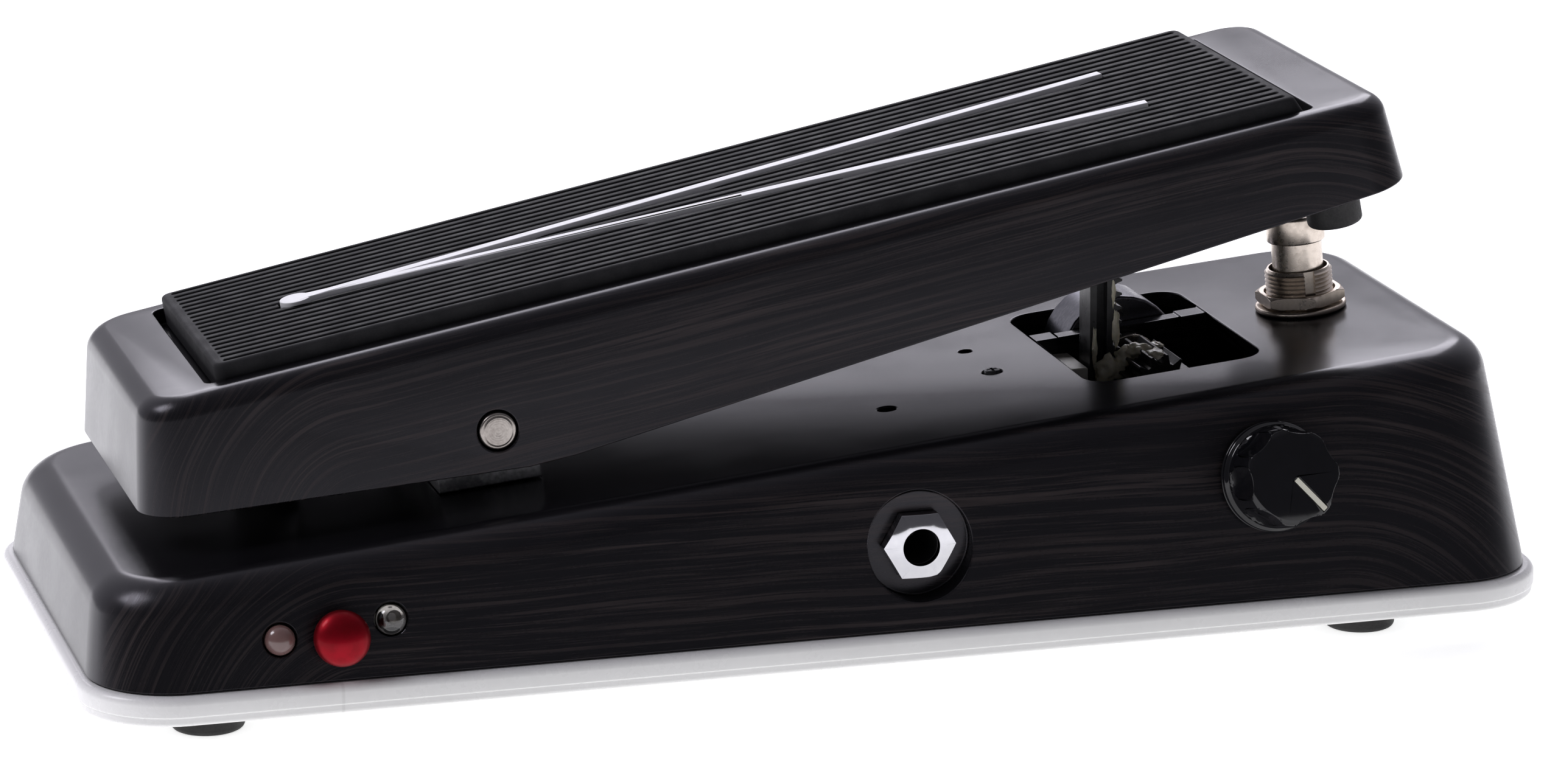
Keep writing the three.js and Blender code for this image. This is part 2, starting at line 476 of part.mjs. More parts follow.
node("pad", "rubber", cut(solid(loft([padRing(0, RECESS_FLOOR + 0.2), padRing(0.2, -1.2), padRing(0.9, 0)])),
  ...range(RIBS + 1).map((i) => strip(padAt(0.01, ribEdge(i)), padAt(0.981, ribEdge(i)), 0.42, 0.5,
    -GROOVE, 1)),
  ...hairpin(GAP, -1.6, 1)), treadle, { roughness: 0.8 });
node("pad_inlay", "white", join(...hairpin(0, -1.4, 0.6)), treadle);

// Stops: two toe bumpers under the treadle, one heel pad on the deck
bumpers.forEach(([u, y], i) => node(`toe_bumper_${i + 1}`, "rubber", solid(turned([
  [0, BUMPER_TIP], [BUMPER_D / 2 - 0.7, BUMPER_TIP], [BUMPER_D / 2, BUMPER_TIP + 0.7],
  [BUMPER_D / 2, BUMPER_SEAT - GAP], [2, BUMPER_SEAT - GAP], [2, BUMPER_SEAT + 5], [0, BUMPER_SEAT + 5]],
24)), frame(treadle, u, y, 0)));
const heelTouch = new THREE.Vector3(HEEL_STOP_AT, 0, HEEL_BOSS).applyMatrix4(treadle.matrix)
  .applyMatrix4(deck.matrix.clone().invert());
node("heel_stop", "rubber", solid(turned([[0, 0.2], [5.6, 0.2], [5.6, heelTouch.z - 1.2],
  [5, heelTouch.z - 0.7], [0, heelTouch.z - 0.7]], 24)), frame(deck, heelTouch.x, 0, 0));

// Sweep drive: potentiometer behind the divider, pinion on its shaft, rack hung from the treadle
const [PX, PZ] = PINION_AT;
const PITCH_R = (MODULE * PINION_TEETH) / 2;
const POT_D = 22;
const drive = frame(body, PX, 0, PZ);
node("sweep_pot", "steel", join(rodY(POT_D, 0, 0, DIVIDER[1] + GAP, 23),
  rodY(POT_BUSHING, 0, 0, DIVIDER[0] - 2.6, 13), rodY(SHAFT_D, 0, 0, -10.2, 13),
  box(-7, 7, 13, 15, -16, -6)), drive, { metalness: 1 });
node("sweep_pot_nut", "nickel", cut(solid(turned([[0, 0], [5.4, 0], [5.4, 2], [0, 2]], 30)
  .rotateX(Math.PI / 2).translate(0, DIVIDER[0] - GAP, 0)), rodY(POT_BUSHING + 2 * GAP, 0, 0, 0, 12)),
drive, { metalness: 1 });
// tooth edges as [angle in pitches, radius], thinned for running clearance
const toothed = range(PINION_TEETH).flatMap((i) =>
  [[-0.36, PITCH_R - 1.1 * MODULE], [-0.17, PITCH_R], [-0.08, PITCH_R + MODULE - 0.1],
    [0.08, PITCH_R + MODULE - 0.1], [0.17, PITCH_R], [0.36, PITCH_R - 1.1 * MODULE]].map(([p, r]) => {
    const a = Math.PI + ((i + 0.5 + p) * FULL) / PINION_TEETH;
    return [r * Math.cos(a), r * Math.sin(a)];
  }));
node("pinion", "plastic", cut(solid(across(toothed, -12, 2.6)), rodY(SHAFT_D + 2 * GAP, 0, 0, -10.6, 4),
  rodY(2, 0, 0, -14, 0, 12)), drive);
const RACK_PITCH = Math.PI * MODULE;
const rackFace = PX - PITCH_R - MODULE - 0.15; // tooth roots
const RACK_LOW = 29;
const rackTeeth = range(11).flatMap((i) => [[-0.36, -0.1], [-0.17, MODULE], [-0.08, 2 * MODULE - 0.1],
  [0.08, 2 * MODULE - 0.1], [0.17, MODULE], [0.36, -0.1]].map(([p, d]) =>
  [rackFace + d, PZ + (i - 2 + p) * RACK_PITCH]));
const rackBack = rackFace - RACK_BODY;
node("rack", "plastic", cut(join(
  across([[rackBack, RACK_LOW], [rackFace, RACK_LOW], ...rackTeeth, [rackFace, RACK_PIN_Z + 3],
    [rackFace - 1, RACK_PIN_Z + 4], [rackBack + 1, RACK_PIN_Z + 4], [rackBack, RACK_PIN_Z + 3]],
  -RACK_HALF, RACK_HALF)),
rodY(RACK_PIN_D + 2 * GAP, pinWorld.x, RACK_PIN_Z, -9, 9, 20),
...ends.map((s) => box(rackBack + 1.3, rackFace - 1.3, ...span(s, 1.2, 5), RACK_LOW - 1, RACK_PIN_Z - 5))));
node("rack_pin", "steel", solid(rodY(RACK_PIN_D, pinWorld.x, RACK_PIN_Z, -6.8, 6.8, 20)), body,
  { metalness: 1 });
node("rack_guide", "nylon", solid(box(rackBack - 4.4, rackBack - 0.6, -4, DIVIDER[0] - GAP, PZ - 2.6, PZ + 2.4)));

// Electrics inside the housing
const BOARD = [-18, 38, -19, 19, 12, 13.6];
node("circuit_board", "board", solid(box(...BOARD)));
const batteryX = -75;
node("battery", "cell", solid(prism(outline(batteryX, batteryX + BATTERY[0], BATTERY[1] / 2,
  BATTERY[1] / 2, 2.5, 3), PLATE_Z + PLATE_T + GAP, PLATE_Z + PLATE_T + GAP + BATTERY[2])));
node("battery_snap", "plastic", solid(box(batteryX + BATTERY[0] + GAP, batteryX + BATTERY[0] + 3.2,
  -12, 12, 8, 21)));

// The knob and button reach out on one side, so the pedal is slid across to centre its own box
pedal.updateMatrixWorld(true);
const reach = new THREE.Box3().setFromObject(pedal, true);
body.position.y = -(reach.min.y + reach.max.y) / 2;

export default pedal;
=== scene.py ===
import math

import bmesh
import bpy
from mathutils import Matrix, Vector, noise


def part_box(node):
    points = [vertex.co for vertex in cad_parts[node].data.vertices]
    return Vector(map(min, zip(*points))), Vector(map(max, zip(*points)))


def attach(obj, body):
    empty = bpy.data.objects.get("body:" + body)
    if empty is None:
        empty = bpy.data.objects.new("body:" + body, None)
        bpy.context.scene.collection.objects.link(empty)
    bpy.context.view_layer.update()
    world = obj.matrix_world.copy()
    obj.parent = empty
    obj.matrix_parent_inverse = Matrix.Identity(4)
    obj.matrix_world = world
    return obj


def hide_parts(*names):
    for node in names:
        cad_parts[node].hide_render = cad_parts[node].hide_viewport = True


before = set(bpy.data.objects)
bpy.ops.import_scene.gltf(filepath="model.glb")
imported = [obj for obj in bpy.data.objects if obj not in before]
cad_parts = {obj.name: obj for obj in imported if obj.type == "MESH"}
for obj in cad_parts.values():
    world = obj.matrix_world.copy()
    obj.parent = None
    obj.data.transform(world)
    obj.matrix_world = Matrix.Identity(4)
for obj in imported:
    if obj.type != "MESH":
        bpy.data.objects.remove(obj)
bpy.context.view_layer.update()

scene = bpy.context.scene
slide = 500 * sum(corner.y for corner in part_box("axle"))  # middle plane of the pedal, mm

# The camera stands low at the heel end on the control side, with a long lens, and looks at the middle
# of the pedal.
aim = Vector((0.003848, slide / 1000, 0.038595))
azimuth, elevation, roll = (math.radians(a) for a in (-15.677, 14.691, -0.304))
distance, focal_length = 1.06854, 141.09
back = Vector((math.sin(azimuth) * math.cos(elevation),
               -math.cos(azimuth) * math.cos(elevation), math.sin(elevation)))
level = Vector((math.cos(azimuth), math.sin(azimuth), 0))
right = math.cos(roll) * level + math.sin(roll) * back.cross(level)
lens = bpy.data.cameras.new("camera")
lens.sensor_width, lens.lens = 36, focal_length
lens.clip_start, lens.clip_end = 0.05, 50
camera = bpy.data.objects.new("camera", lens)
camera.matrix_world = Matrix.Translation(aim + back * distance) @ Matrix(
    (right, back.cross(right), back)).transposed().to_4x4()
scene.collection.objects.link(camera)
scene.camera = camera


# The studio: a white table, a surround that is bright behind the pedal and dark in front of it,
# a softbox over the heel end and a wide one above the far side.
def put(tree, kind, feeds=(), **settings):
    """Add a shader node; feeds gives its inputs, each a number, a colour or another node's output."""
    made = tree.nodes.new("ShaderNode" + kind)
    for key, value in settings.items():
        setattr(made, key, value)
    for key, value in dict(feeds).items():
        if isinstance(value, bpy.types.NodeSocket):
            tree.links.new(value, made.inputs[key])
        else:
            made.inputs[key].default_value = value
    return made


def calc(tree, operation, *values):
    return put(tree, "Math", enumerate(values), operation=operation).outputs[0]


def fade(tree, value, low, high, to_low=0.0, to_high=1.0):
    """Smooth step of a value from low to high."""
    return put(tree, "MapRange", {0: value, 1: low, 2: high, 3: to_low, 4: to_high},
               interpolation_type="SMOOTHSTEP").outputs[0]


world = bpy.data.worlds.new("surround")
scene.world = world
world.use_nodes = True
sky = world.node_tree
bearing = put(sky, "SeparateXYZ", {0: put(sky, "TexCoord").outputs["Generated"]})
behind = fade(sky, bearing.outputs["Y"], -0.35, 0.8, 0.085, 0.55)
above = fade(sky, bearing.outputs["Z"], 0.3, 1.0, 0.0, 0.1)
sky.nodes["Background"].inputs["Color"].default_value = (0.92, 0.9, 1.0, 1)
sky.links.new(calc(sky, "ADD", behind, above), sky.nodes["Background"].inputs["Strength"])

table_bm = bmesh.new()
bmesh.ops.create_circle(table_bm, cap_ends=True, segments=64, radius=14)
table_mesh = bpy.data.meshes.new("table")
table_bm.to_mesh(table_mesh)
table = bpy.data.objects.new("table", table_mesh)
scene.collection.objects.link(table)
white_table = bpy.data.materials.new("white_table")
white_table.use_nodes = True
paint = white_table.node_tree.nodes["Principled BSDF"]
for socket, value in {"Base Color": (0.86, 0.86, 0.87, 1), "Roughness": 0.7,
                      "Emission Color": (1, 1, 1, 1), "Emission Strength": 0.72}.items():
    paint.inputs[socket].default_value = value
table_mesh.materials.append(white_table)

for name, spot, width, watts in (("heel_softbox", (-1.15, 0.2, 1.2), 0.55, 8.5),
                                 ("far_softbox", (0.5, 1.7, 1.5), 1.5, 27)):
    panel = bpy.data.lights.new(name, "AREA")
    panel.shape, panel.size, panel.energy = "SQUARE", width, watts
    panel.color = (0.95, 0.93, 1.0)
    lamp = bpy.data.objects.new(name, panel)
    lamp.location = spot
    lamp.rotation_euler = (Vector(spot) - aim).to_track_quat("Z", "Y").to_euler()
    lamp.visible_camera = False
    scene.collection.objects.link(lamp)
scene.view_settings.view_transform = "Standard"


# The housing: an aluminium wedge die-cast in one piece, with drafted walls, a rounded rim, a window for
# the rack with a divider wall across it, and a round pocket for each socket. It is painted black, and a
# printed ebony-grain film covers its two long sides down from the rim.
HOUSING_END, HOUSING_SIDE, HOUSING_FLOOR = 126, 52.75, 9.1
HOUSING_CORNER, HOUSING_RIM, HOUSING_WALL = 14.7, 5.2, 3
HEEL_DRAFT, TOE_DRAFT, SIDE_DRAFT = 0.135, 0.142, 0.25  # how far a wall leans in for each mm of height
deck_height, deck_tilt = 36.84, math.radians(5.33)
DECK = Matrix.Translation((0, slide, deck_height)) @ Matrix.Rotation(-deck_tilt, 4, "Y")
MIDDLE = Matrix.Translation((0, slide, 0))


def on_wall(x, z):
    """Frame of a fitting square to the control-side wall: its Z points out of the wall."""
    y = slide - HOUSING_SIDE + SIDE_DRAFT * (z - HOUSING_FLOOR)
    return Matrix.Translation((x, y, z)) @ Matrix.Rotation(math.pi / 2 - math.atan(SIDE_DRAFT), 4, "X")


def upright(bm):
    return [e for e in bm.edges
            if abs(e.verts[0].co.z - e.verts[1].co.z) > 0.8 * e.calc_length()]


def soften(bm, edges, width, steps):
    bmesh.ops.bevel(bm, geom=edges, offset=width, offset_type="OFFSET", segments=steps, profile=0.5,
                    affect="EDGES", material=-1, clamp_overlap=True)


def top_face(bm):
    return max((f for f in bm.faces if f.normal.z > 0.7), key=lambda f: f.calc_area())


def wedge(inset, depth, floor, corner, rim, steps):
    """Block with the housing's leaning walls, inset from them, up to a plane below the deck."""
    bm = bmesh.new()
    bmesh.ops.create_cube(bm, size=2)
    rise = math.tan(deck_tilt)
    for v in bm.verts:
        end, side, height = v.co.x, v.co.y, deck_height - depth
        lean = HEEL_DRAFT if end < 0 else TOE_DRAFT
        if v.co.z < 0:
            height, slope = floor, 0
        else:
            slope = rise
        x = end * (HOUSING_END - inset - lean * (height - HOUSING_FLOOR)) / (1 + end * lean * slope)
        z = height + x * slope
        v.co = (x, side * (HOUSING_SIDE - inset - SIDE_DRAFT * (z - HOUSING_FLOOR)), z)
    soften(bm, upright(bm), corner, steps)
    bm.normal_update()
    soften(bm, top_face(bm).edges[:], rim, steps - 2)
    bm.transform(MIDDLE)
    return bm


def slab(x0, x1, y0, y1, z0, z1, corner=0, place=Matrix(), steps=6):
    """Box between two x, two y and two z values, its upright edges rounded."""
    bm = bmesh.new()
    bmesh.ops.create_cube(bm, size=1, matrix=Matrix.Translation(
        ((x0 + x1) / 2, (y0 + y1) / 2, (z0 + z1) / 2)) @ Matrix.Diagonal((x1 - x0, y1 - y0, z1 - z0, 1)))
    if corner:
        soften(bm, [e for e in bm.edges if abs(e.verts[0].co.z - e.verts[1].co.z) > 1e-3],
               corner, steps)
    bm.transform(place)
    return bm


def rod(width, z0, z1, place=Matrix(), steps=48):
    bm = bmesh.new()
    bmesh.ops.create_cone(bm, cap_ends=True, segments=steps, radius1=width / 2, radius2=width / 2,
                          depth=z1 - z0, matrix=place @ Matrix.Translation((0, 0, (z0 + z1) / 2)))
    return bm


def carve(bm, how, *tools):
    """Cut tools from a block, or join or overlap them with it; every solid is used up."""
    parts = []
    for part in (bm, *tools):
        bmesh.ops.recalc_face_normals(part, faces=part.faces)
        mesh = bpy.data.meshes.new("part")
        part.to_mesh(mesh)
        part.free()
        parts.append(bpy.data.objects.new("part", mesh))
        scene.collection.objects.link(parts[-1])
    for tool in parts[1:]:
        step = parts[0].modifiers.new("step", "BOOLEAN")
        step.operation, step.solver, step.object = how, "EXACT", tool
    made = bmesh.new()
    made.from_object(parts[0], bpy.context.evaluated_depsgraph_get())
    for part in parts:
        mesh = part.data
        bpy.data.objects.remove(part)
        bpy.data.meshes.remove(mesh)
    bmesh.ops.remove_doubles(made, verts=made.verts, dist=1e-4)
    return made


def fit(bm, name, body, finish, stands_for=(), edge=0.0, crease=32, scale=0.001):
    """Turn a solid in millimetres into a shown piece that rides on a body."""
    bmesh.ops.recalc_face_normals(bm, faces=bm.faces)
    mesh = bpy.data.meshes.new(name)
    bm.to_mesh(mesh)
    bm.free()
    mesh.transform(Matrix.Scale(scale, 4))
    mesh.shade_smooth()
    mesh.set_sharp_from_angle(angle=math.radians(crease))
    mesh.materials.clear()
    mesh.materials.append(finish)
    obj = bpy.data.objects.new(name, mesh)
    scene.collection.objects.link(obj)
    if edge:
        rounding = obj.modifiers.new("edges", "BEVEL")
        rounding.width, rounding.segments = edge / 1000, 2
        rounding.limit_method, rounding.angle_limit = "ANGLE", math.radians(crease)
        rounding.use_clamp_overlap, rounding.harden_normals = False, True
    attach(obj, body)
    if stands_for:
        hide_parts(*([stands_for] if isinstance(stands_for, str) else stands_for))
    return obj


# shared effect: uneven colour, gloss and surface of any made material, at a size given in metres
uneven = bpy.data.node_groups.new("uneven_surface", "ShaderNodeTree")
for label, kind in (("Vector", "Vector"), ("Size", "Float"), ("Light", "Color"), ("Dark", "Color"),
                    ("Smooth", "Float"), ("Rough", "Float")):
    uneven.interface.new_socket(name=label, in_out="INPUT", socket_type="NodeSocket" + kind)
for label, kind in (("Color", "Color"), ("Roughness", "Float"), ("Height", "Float")):
    uneven.interface.new_socket(name=label, in_out="OUTPUT", socket_type="NodeSocket" + kind)
given = uneven.nodes.new("NodeGroupInput").outputs
often = calc(uneven, "DIVIDE", 1.0, given["Size"])
fine = put(uneven, "TexNoise", {"Vector": given["Vector"], "Scale": often, "Detail": 3.0}).outputs[0]
broad = put(uneven, "TexNoise", {"Vector": given["Vector"], "Scale": calc(uneven, "MULTIPLY", often, 0.07),
                                 "Detail": 4.0}).outputs[0]
patchy = fade(uneven, calc(uneven, "ADD", calc(uneven, "MULTIPLY", fine, 0.35),
                           calc(uneven, "MULTIPLY", broad, 0.65)), 0.32, 0.66)
# the colour sockets of a Mix node, 6 and 7, come after its number and vector ones
tone = put(uneven, "Mix", {0: patchy, 6: given["Light"], 7: given["Dark"]}, data_type="RGBA")
gloss = put(uneven, "MapRange", {0: patchy, 1: 0.0, 2: 1.0, 3: given["Smooth"], 4: given["Rough"]})
result = uneven.nodes.new("NodeGroupOutput").inputs
for label, output in (("Color", tone.outputs[2]), ("Roughness", gloss.outputs[0]), ("Height", fine)):
    uneven.links.new(output, result[label])


def finish_of(name, light, dark, smooth, rough, size=0.6, relief=0.0, **constants):
    """Material whose colour and gloss wander between two values; size and relief are in mm."""
    made = bpy.data.materials.new(name)
    made.use_nodes = True
    tree = made.node_tree
    shader = tree.nodes["Principled BSDF"]
    for socket, value in constants.items():
        shader.inputs[socket.replace("_", " ")].default_value = value
    spread = put(tree, "Group", node_tree=uneven)
    tree.links.new(put(tree, "TexCoord").outputs["Object"], spread.inputs["Vector"])
    for label, value in (("Size", size / 1000), ("Light", (*light, 1)), ("Dark", (*dark, 1)),
                         ("Smooth", smooth), ("Rough", rough)):
        spread.inputs[label].default_value = value
    tree.links.new(spread.outputs["Color"], shader.inputs["Base Color"])
    tree.links.new(spread.outputs["Roughness"], shader.inputs["Roughness"])
    if relief:
        bump = put(tree, "Bump", {"Height": spread.outputs["Height"], "Distance": relief / 1000,
                                  "Strength": 1.0})
        tree.links.new(bump.outputs[0], shader.inputs["Normal"])
    return made, tree, shader, spread


# shared effect: ebony grain, level along a side and turning down in arcs at both ends; Vector in mm.
# Heel and Toe say where the arcs start along X, the Squeezes how far they reach, Drop their centre's depth.
grain = bpy.data.node_groups.new("ebony_grain", "ShaderNodeTree")
for label, kind in (("Vector", "Vector"), ("Heel", "Float"), ("Toe", "Float"), ("Heel Squeeze", "Float"),
                    ("Toe Squeeze", "Float"), ("Drop", "Float")):
    grain.interface.new_socket(name=label, in_out="INPUT", socket_type="NodeSocket" + kind)
for label in ("Streaks", "Bands"):
    grain.interface.new_socket(name=label, in_out="OUTPUT", socket_type="NodeSocketFloat")
given = grain.nodes.new("NodeGroupInput").outputs
place = put(grain, "SeparateXYZ", {0: given["Vector"]}).outputs
stretched = put(grain, "Mapping", {"Vector": given["Vector"], "Scale": (0.014, 0.012, 0.03)}).outputs[0]
drift = put(grain, "TexNoise", {"Vector": stretched, "Scale": 1.0, "Detail": 2.0}).outputs[0]
past_heel = calc(grain, "DIVIDE", calc(grain, "MAXIMUM", calc(
    grain, "SUBTRACT", given["Heel"], place["X"]), 0.0), given["Heel Squeeze"])
past_toe = calc(grain, "DIVIDE", calc(grain, "MAXIMUM", calc(
    grain, "SUBTRACT", place["X"], given["Toe"]), 0.0), given["Toe Squeeze"])
past = calc(grain, "ADD", past_heel, past_toe)
height = calc(grain, "ADD", place["Z"], given["Drop"])
ring = calc(grain, "SQRT", calc(grain, "ADD", calc(grain, "MULTIPLY", past, past),
                                calc(grain, "MULTIPLY", height, height)))
ring = calc(grain, "ADD", ring, calc(grain, "MULTIPLY", drift, 4.0))


def veins(along, across, detail):
    """Noise drawn out along the grain; along and across are its rates per mm."""
    spot = put(grain, "CombineXYZ", {"X": calc(grain, "MULTIPLY", place["X"], along),
                                     "Y": calc(grain, "MULTIPLY", place["Y"], 0.01),
                                     "Z": calc(grain, "MULTIPLY", ring, across)}).outputs[0]
    return put(grain, "TexNoise", {"Vector": spot, "Scale": 1.0, "Detail": detail,
                                   "Roughness": 0.62}).outputs[0]


threads = fade(grain, veins(0.022, 1.5, 3.0), 0.46, 0.66)
pores = fade(grain, veins(0.09, 4.2, 2.0), 0.5, 0.7)
bands = fade(grain, veins(0.008, 0.3, 3.0), 0.34, 0.64)
result = grain.nodes.new("NodeGroupOutput").inputs
grain.links.new(calc(grain, "MULTIPLY", calc(grain, "ADD", threads, calc(grain, "MULTIPLY", pores, 0.45)),
                     calc(grain, "ADD", calc(grain, "MULTIPLY", bands, 0.7), 0.3)), result["Streaks"])
grain.links.new(bands, result["Bands"])


def black_with_film(name, frame_of, heel, toe, heel_squeeze, toe_squeeze, drop):
    """Satin black paint, with the ebony film wherever the surface faces sideways."""
    made, tree, shader, spread = finish_of(name, (0.0075, 0.0072, 0.0085), (0.005, 0.0048, 0.006),
                                           0.19, 0.24, 0.9, 0.001, Specular_Tint=(0.93, 0.91, 1.0, 1.0))
    where = put(tree, "TexCoord")
    local = put(tree, "Mapping", {"Vector": where.outputs["Object"],
                                  "Location": frame_of.to_translation() / 1000,
                                  "Rotation": frame_of.to_euler(), "Scale": (0.001,) * 3},
                vector_type="TEXTURE").outputs[0]
    film = put(tree, "Group", {"Vector": local, "Heel": heel, "Toe": toe, "Heel Squeeze": heel_squeeze,
                               "Toe Squeeze": toe_squeeze, "Drop": drop}, node_tree=grain)
    facing = put(tree, "SeparateXYZ", {0: where.outputs["Normal"]}).outputs["Y"]
    sideways = fade(tree, calc(tree, "ABSOLUTE", facing), 0.3, 0.55)
    streak = calc(tree, "MULTIPLY", calc(tree, "MULTIPLY", film.outputs["Streaks"], sideways), 0.8)
    tint = put(tree, "Mix", {0: streak, 6: spread.outputs["Color"], 7: (0.034, 0.026, 0.025, 1)},
               data_type="RGBA")
    tree.links.new(tint.outputs[2], shader.inputs["Base Color"])
    dull = calc(tree, "ADD", spread.outputs["Roughness"], calc(tree, "MULTIPLY", sideways, calc(
        tree, "ADD", 0.03, calc(tree, "MULTIPLY", film.outputs["Streaks"], 0.1))))
    tree.links.new(dull, shader.inputs["Roughness"])
    tree.links.new(calc(tree, "SUBTRACT", 0.5, calc(tree, "MULTIPLY", sideways, 0.17)),
                   shader.inputs["Specular IOR Level"])
    return made


ebony_housing = black_with_film("black_paint_and_ebony_film", MIDDLE, -82.0, 88.0, 0.9, 1.1, 8.0)
WINDOW, WINDOW_CORNER = (52.2, 84.2, -24.5, 25), 4.8
DIVIDER_FOOT, DIVIDER_TOP = -23, -0.3  # levels along the deck's own Z
SOCKET, POCKET_FLOOR, POCKET_WIDTH, COLLAR_WIDTH = (13.6, 22.7), 46.9, 18.2, 22.2
LAMPS = ((-95.9, 16.4), (-77.3, 18.2))
BUTTON, KNOB = (-86.2, 16.0), (76.6, 29.4)
SCREW, SWITCH_X = (39.7, -7.1), 99.7
FOOT_HEEL, FOOT_TOE, FOOT_SIDE = -106.6, 95, 42.2
BOSS_WIDTH, BOSS_TOP = 9, 19
DRIVE = Matrix.Translation((69.4, slide, 36.6)) @ Matrix.Rotation(-math.pi / 2, 4, "X")  # Z along +Y
SOCKET_SIDES = [Matrix.Translation((SOCKET[0], slide, SOCKET[1])) @ Matrix.Rotation(
    s * math.pi / 2, 4, "X") for s in (-1, 1)]
feet_at = [(x, y) for x in (FOOT_HEEL, FOOT_TOE) for y in (-FOOT_SIDE, FOOT_SIDE)]
outer = (0, 0, HOUSING_FLOOR, HOUSING_CORNER, HOUSING_RIM, 12)
hollow = wedge(HOUSING_WALL, HOUSING_WALL, HOUSING_FLOOR - 2, HOUSING_CORNER - HOUSING_WALL, 4, 8)
housing = carve(wedge(*outer), "DIFFERENCE", hollow, slab(*WINDOW, -12, 8, WINDOW_CORNER, DECK, 8))
divider = slab(51.2, 85.2, 7.75, 11, DIVIDER_FOOT, DIVIDER_TOP, 0, DECK)
divider_ends = [slab(x, x + 5, 7.1, 11.7, DIVIDER_FOOT, -0.15, 0, DECK) for x in (51.6, 79.6)]
collars = [carve(rod(COLLAR_WIDTH, 43.9, 60, side, 72), "INTERSECT", wedge(*outer))
           for side in SOCKET_SIDES]
bosses = [rod(BOSS_WIDTH, 6.3, BOSS_TOP, Matrix.Translation((x, y + slide, 0))) for x, y in feet_at]
webs = [slab(x - 1.5, x + 1.5, *(end + slide for end in sorted((y, y * 1.16))), HOUSING_FLOOR, BOSS_TOP)
        for x, y in feet_at]
housing = carve(housing, "UNION", divider, *divider_ends, *collars, *bosses, *webs)
pockets = [rod(width, start, 60, side, 72)
           for side in SOCKET_SIDES for width, start in ((POCKET_WIDTH, POCKET_FLOOR), (9.8, 38))]
boss_holes = [rod(3.6, 0, 17, Matrix.Translation((x, y + slide, 0))) for x, y in feet_at]
deck_holes = [rod(width, -8, 4, DECK @ Matrix.Translation((x, y, 0)))
              for x, y, width in ((17.05, -18.4, 3.3), (39.5, 8, 2.4), (*SCREW, 3.6), (SWITCH_X, 0, 12.6))]
wall_holes = [rod(width, -8, 4, on_wall(*at))
              for at, width in ((LAMPS[0], 5.6), (LAMPS[1], 5.6), (BUTTON, 6.3), (KNOB, 7.6))]
housing = carve(housing, "DIFFERENCE", *pockets, *boss_holes, *deck_holes, *wall_holes,
                rod(7.8, 5, 13, DRIVE))
fit(housing, "housing_casting", "base", ebony_housing, "housing", edge=0.3)


# The gasket: a white rubber ring moulded round the lower edge of the housing. It has a rounded upper bead,
# a parting line where the two halves of the mould met, and a butt joint on the control side.
BEAD_OUT, LIP_OUT, SEAT_OUT = 1.7, 1.45, -1.8  # how far each outline stands out from the housing's
BEAD_FOOT, LIP_TOP = 5.5, 5.7  # they overlap at the parting line
BUTT_JOINT = -0.0863  # along X, in metres as its material reads it


def footprint_slab(grow, z0, z1, upper, lower):
    """Plate with the housing's rounded outline, its upper and lower edges rounded by upper and lower."""
    bm = slab(-HOUSING_END - grow, HOUSING_END + grow, -HOUSING_SIDE - grow, HOUSING_SIDE + grow,
              z0, z1, HOUSING_CORNER + grow, MIDDLE, 14)
    bm.normal_update()
    for amount, way in ((upper, 1), (lower, -1)):
        if amount:
            face = max((f for f in bm.faces if f.normal.z * way > 0.9), key=lambda f: f.calc_area())
            soften(bm, face.edges[:], amount, 5)
    return bm


white_rubber, tree, shader, spread = finish_of(
    "glossy_white_rubber", (0.93, 0.93, 0.92), (0.89, 0.89, 0.88), 0.24, 0.32, 1.5)
place = put(tree, "SeparateXYZ", {0: put(tree, "TexCoord").outputs["Object"]}).outputs
from_joint = calc(tree, "ABSOLUTE", calc(tree, "SUBTRACT", place["X"], BUTT_JOINT))
butt = calc(tree, "MULTIPLY", fade(tree, from_joint, 0.0001, 0.0004, 1.0, 0.0),
            fade(tree, place["Y"], -0.03, -0.02, 1.0, 0.0))
shaded = put(tree, "Mix", data_type="RGBA")
tree.links.new(calc(tree, "MULTIPLY", butt, 0.15), shaded.inputs[0])
tree.links.new(spread.outputs["Color"], shaded.inputs[6])
shaded.inputs[7].default_value = (0.3, 0.29, 0.28, 1)
tree.links.new(shaded.outputs[2], shader.inputs["Base Color"])
gasket = carve(footprint_slab(BEAD_OUT, BEAD_FOOT, 8.9, 1.3, 0.35), "UNION",
               footprint_slab(LIP_OUT, 4, LIP_TOP, 0, 0.7))
gasket = carve(gasket, "DIFFERENCE", footprint_slab(SEAT_OUT, 2, 10, 0, 0))
fit(gasket, "gasket_ring", "base", white_rubber, "base_gasket", crease=50)


# Under the pedal: a zinc-plated steel plate closes the housing, and four rubber feet are held on by
# cross-head screws that go through the plate into bosses in the casting.
def refine(node, body, finish, edge=0.15):
    """Cleaned copy of a CAD solid, with rounded edges and smooth round faces."""
    bm = bmesh.new()
    bm.from_mesh(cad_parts[node].data)
    bmesh.ops.remove_doubles(bm, verts=bm.verts, dist=2e-6)
    bmesh.ops.dissolve_limit(bm, angle_limit=math.radians(0.6), verts=bm.verts, edges=bm.edges)
    return fit(bm, node + "_piece", body, finish, node, edge, scale=1.0)


def turned(profile, place=Matrix(), steps=64):
    """Solid turned about Z from a profile of (radius, height) points that starts and ends on the axis."""
    bm = bmesh.new()
    points = [bm.verts.new((r, 0, z)) for r, z in profile]
    for a, b in zip(points, points[1:]):
        bm.edges.new((a, b))
    bmesh.ops.spin(bm, geom=bm.verts[:] + bm.edges[:], cent=(0, 0, 0), axis=(0, 0, 1),
                   angle=2 * math.pi, steps=steps, use_merge=True)
    bmesh.ops.remove_doubles(bm, verts=bm.verts, dist=1e-4)
    bm.transform(place)
    return bm


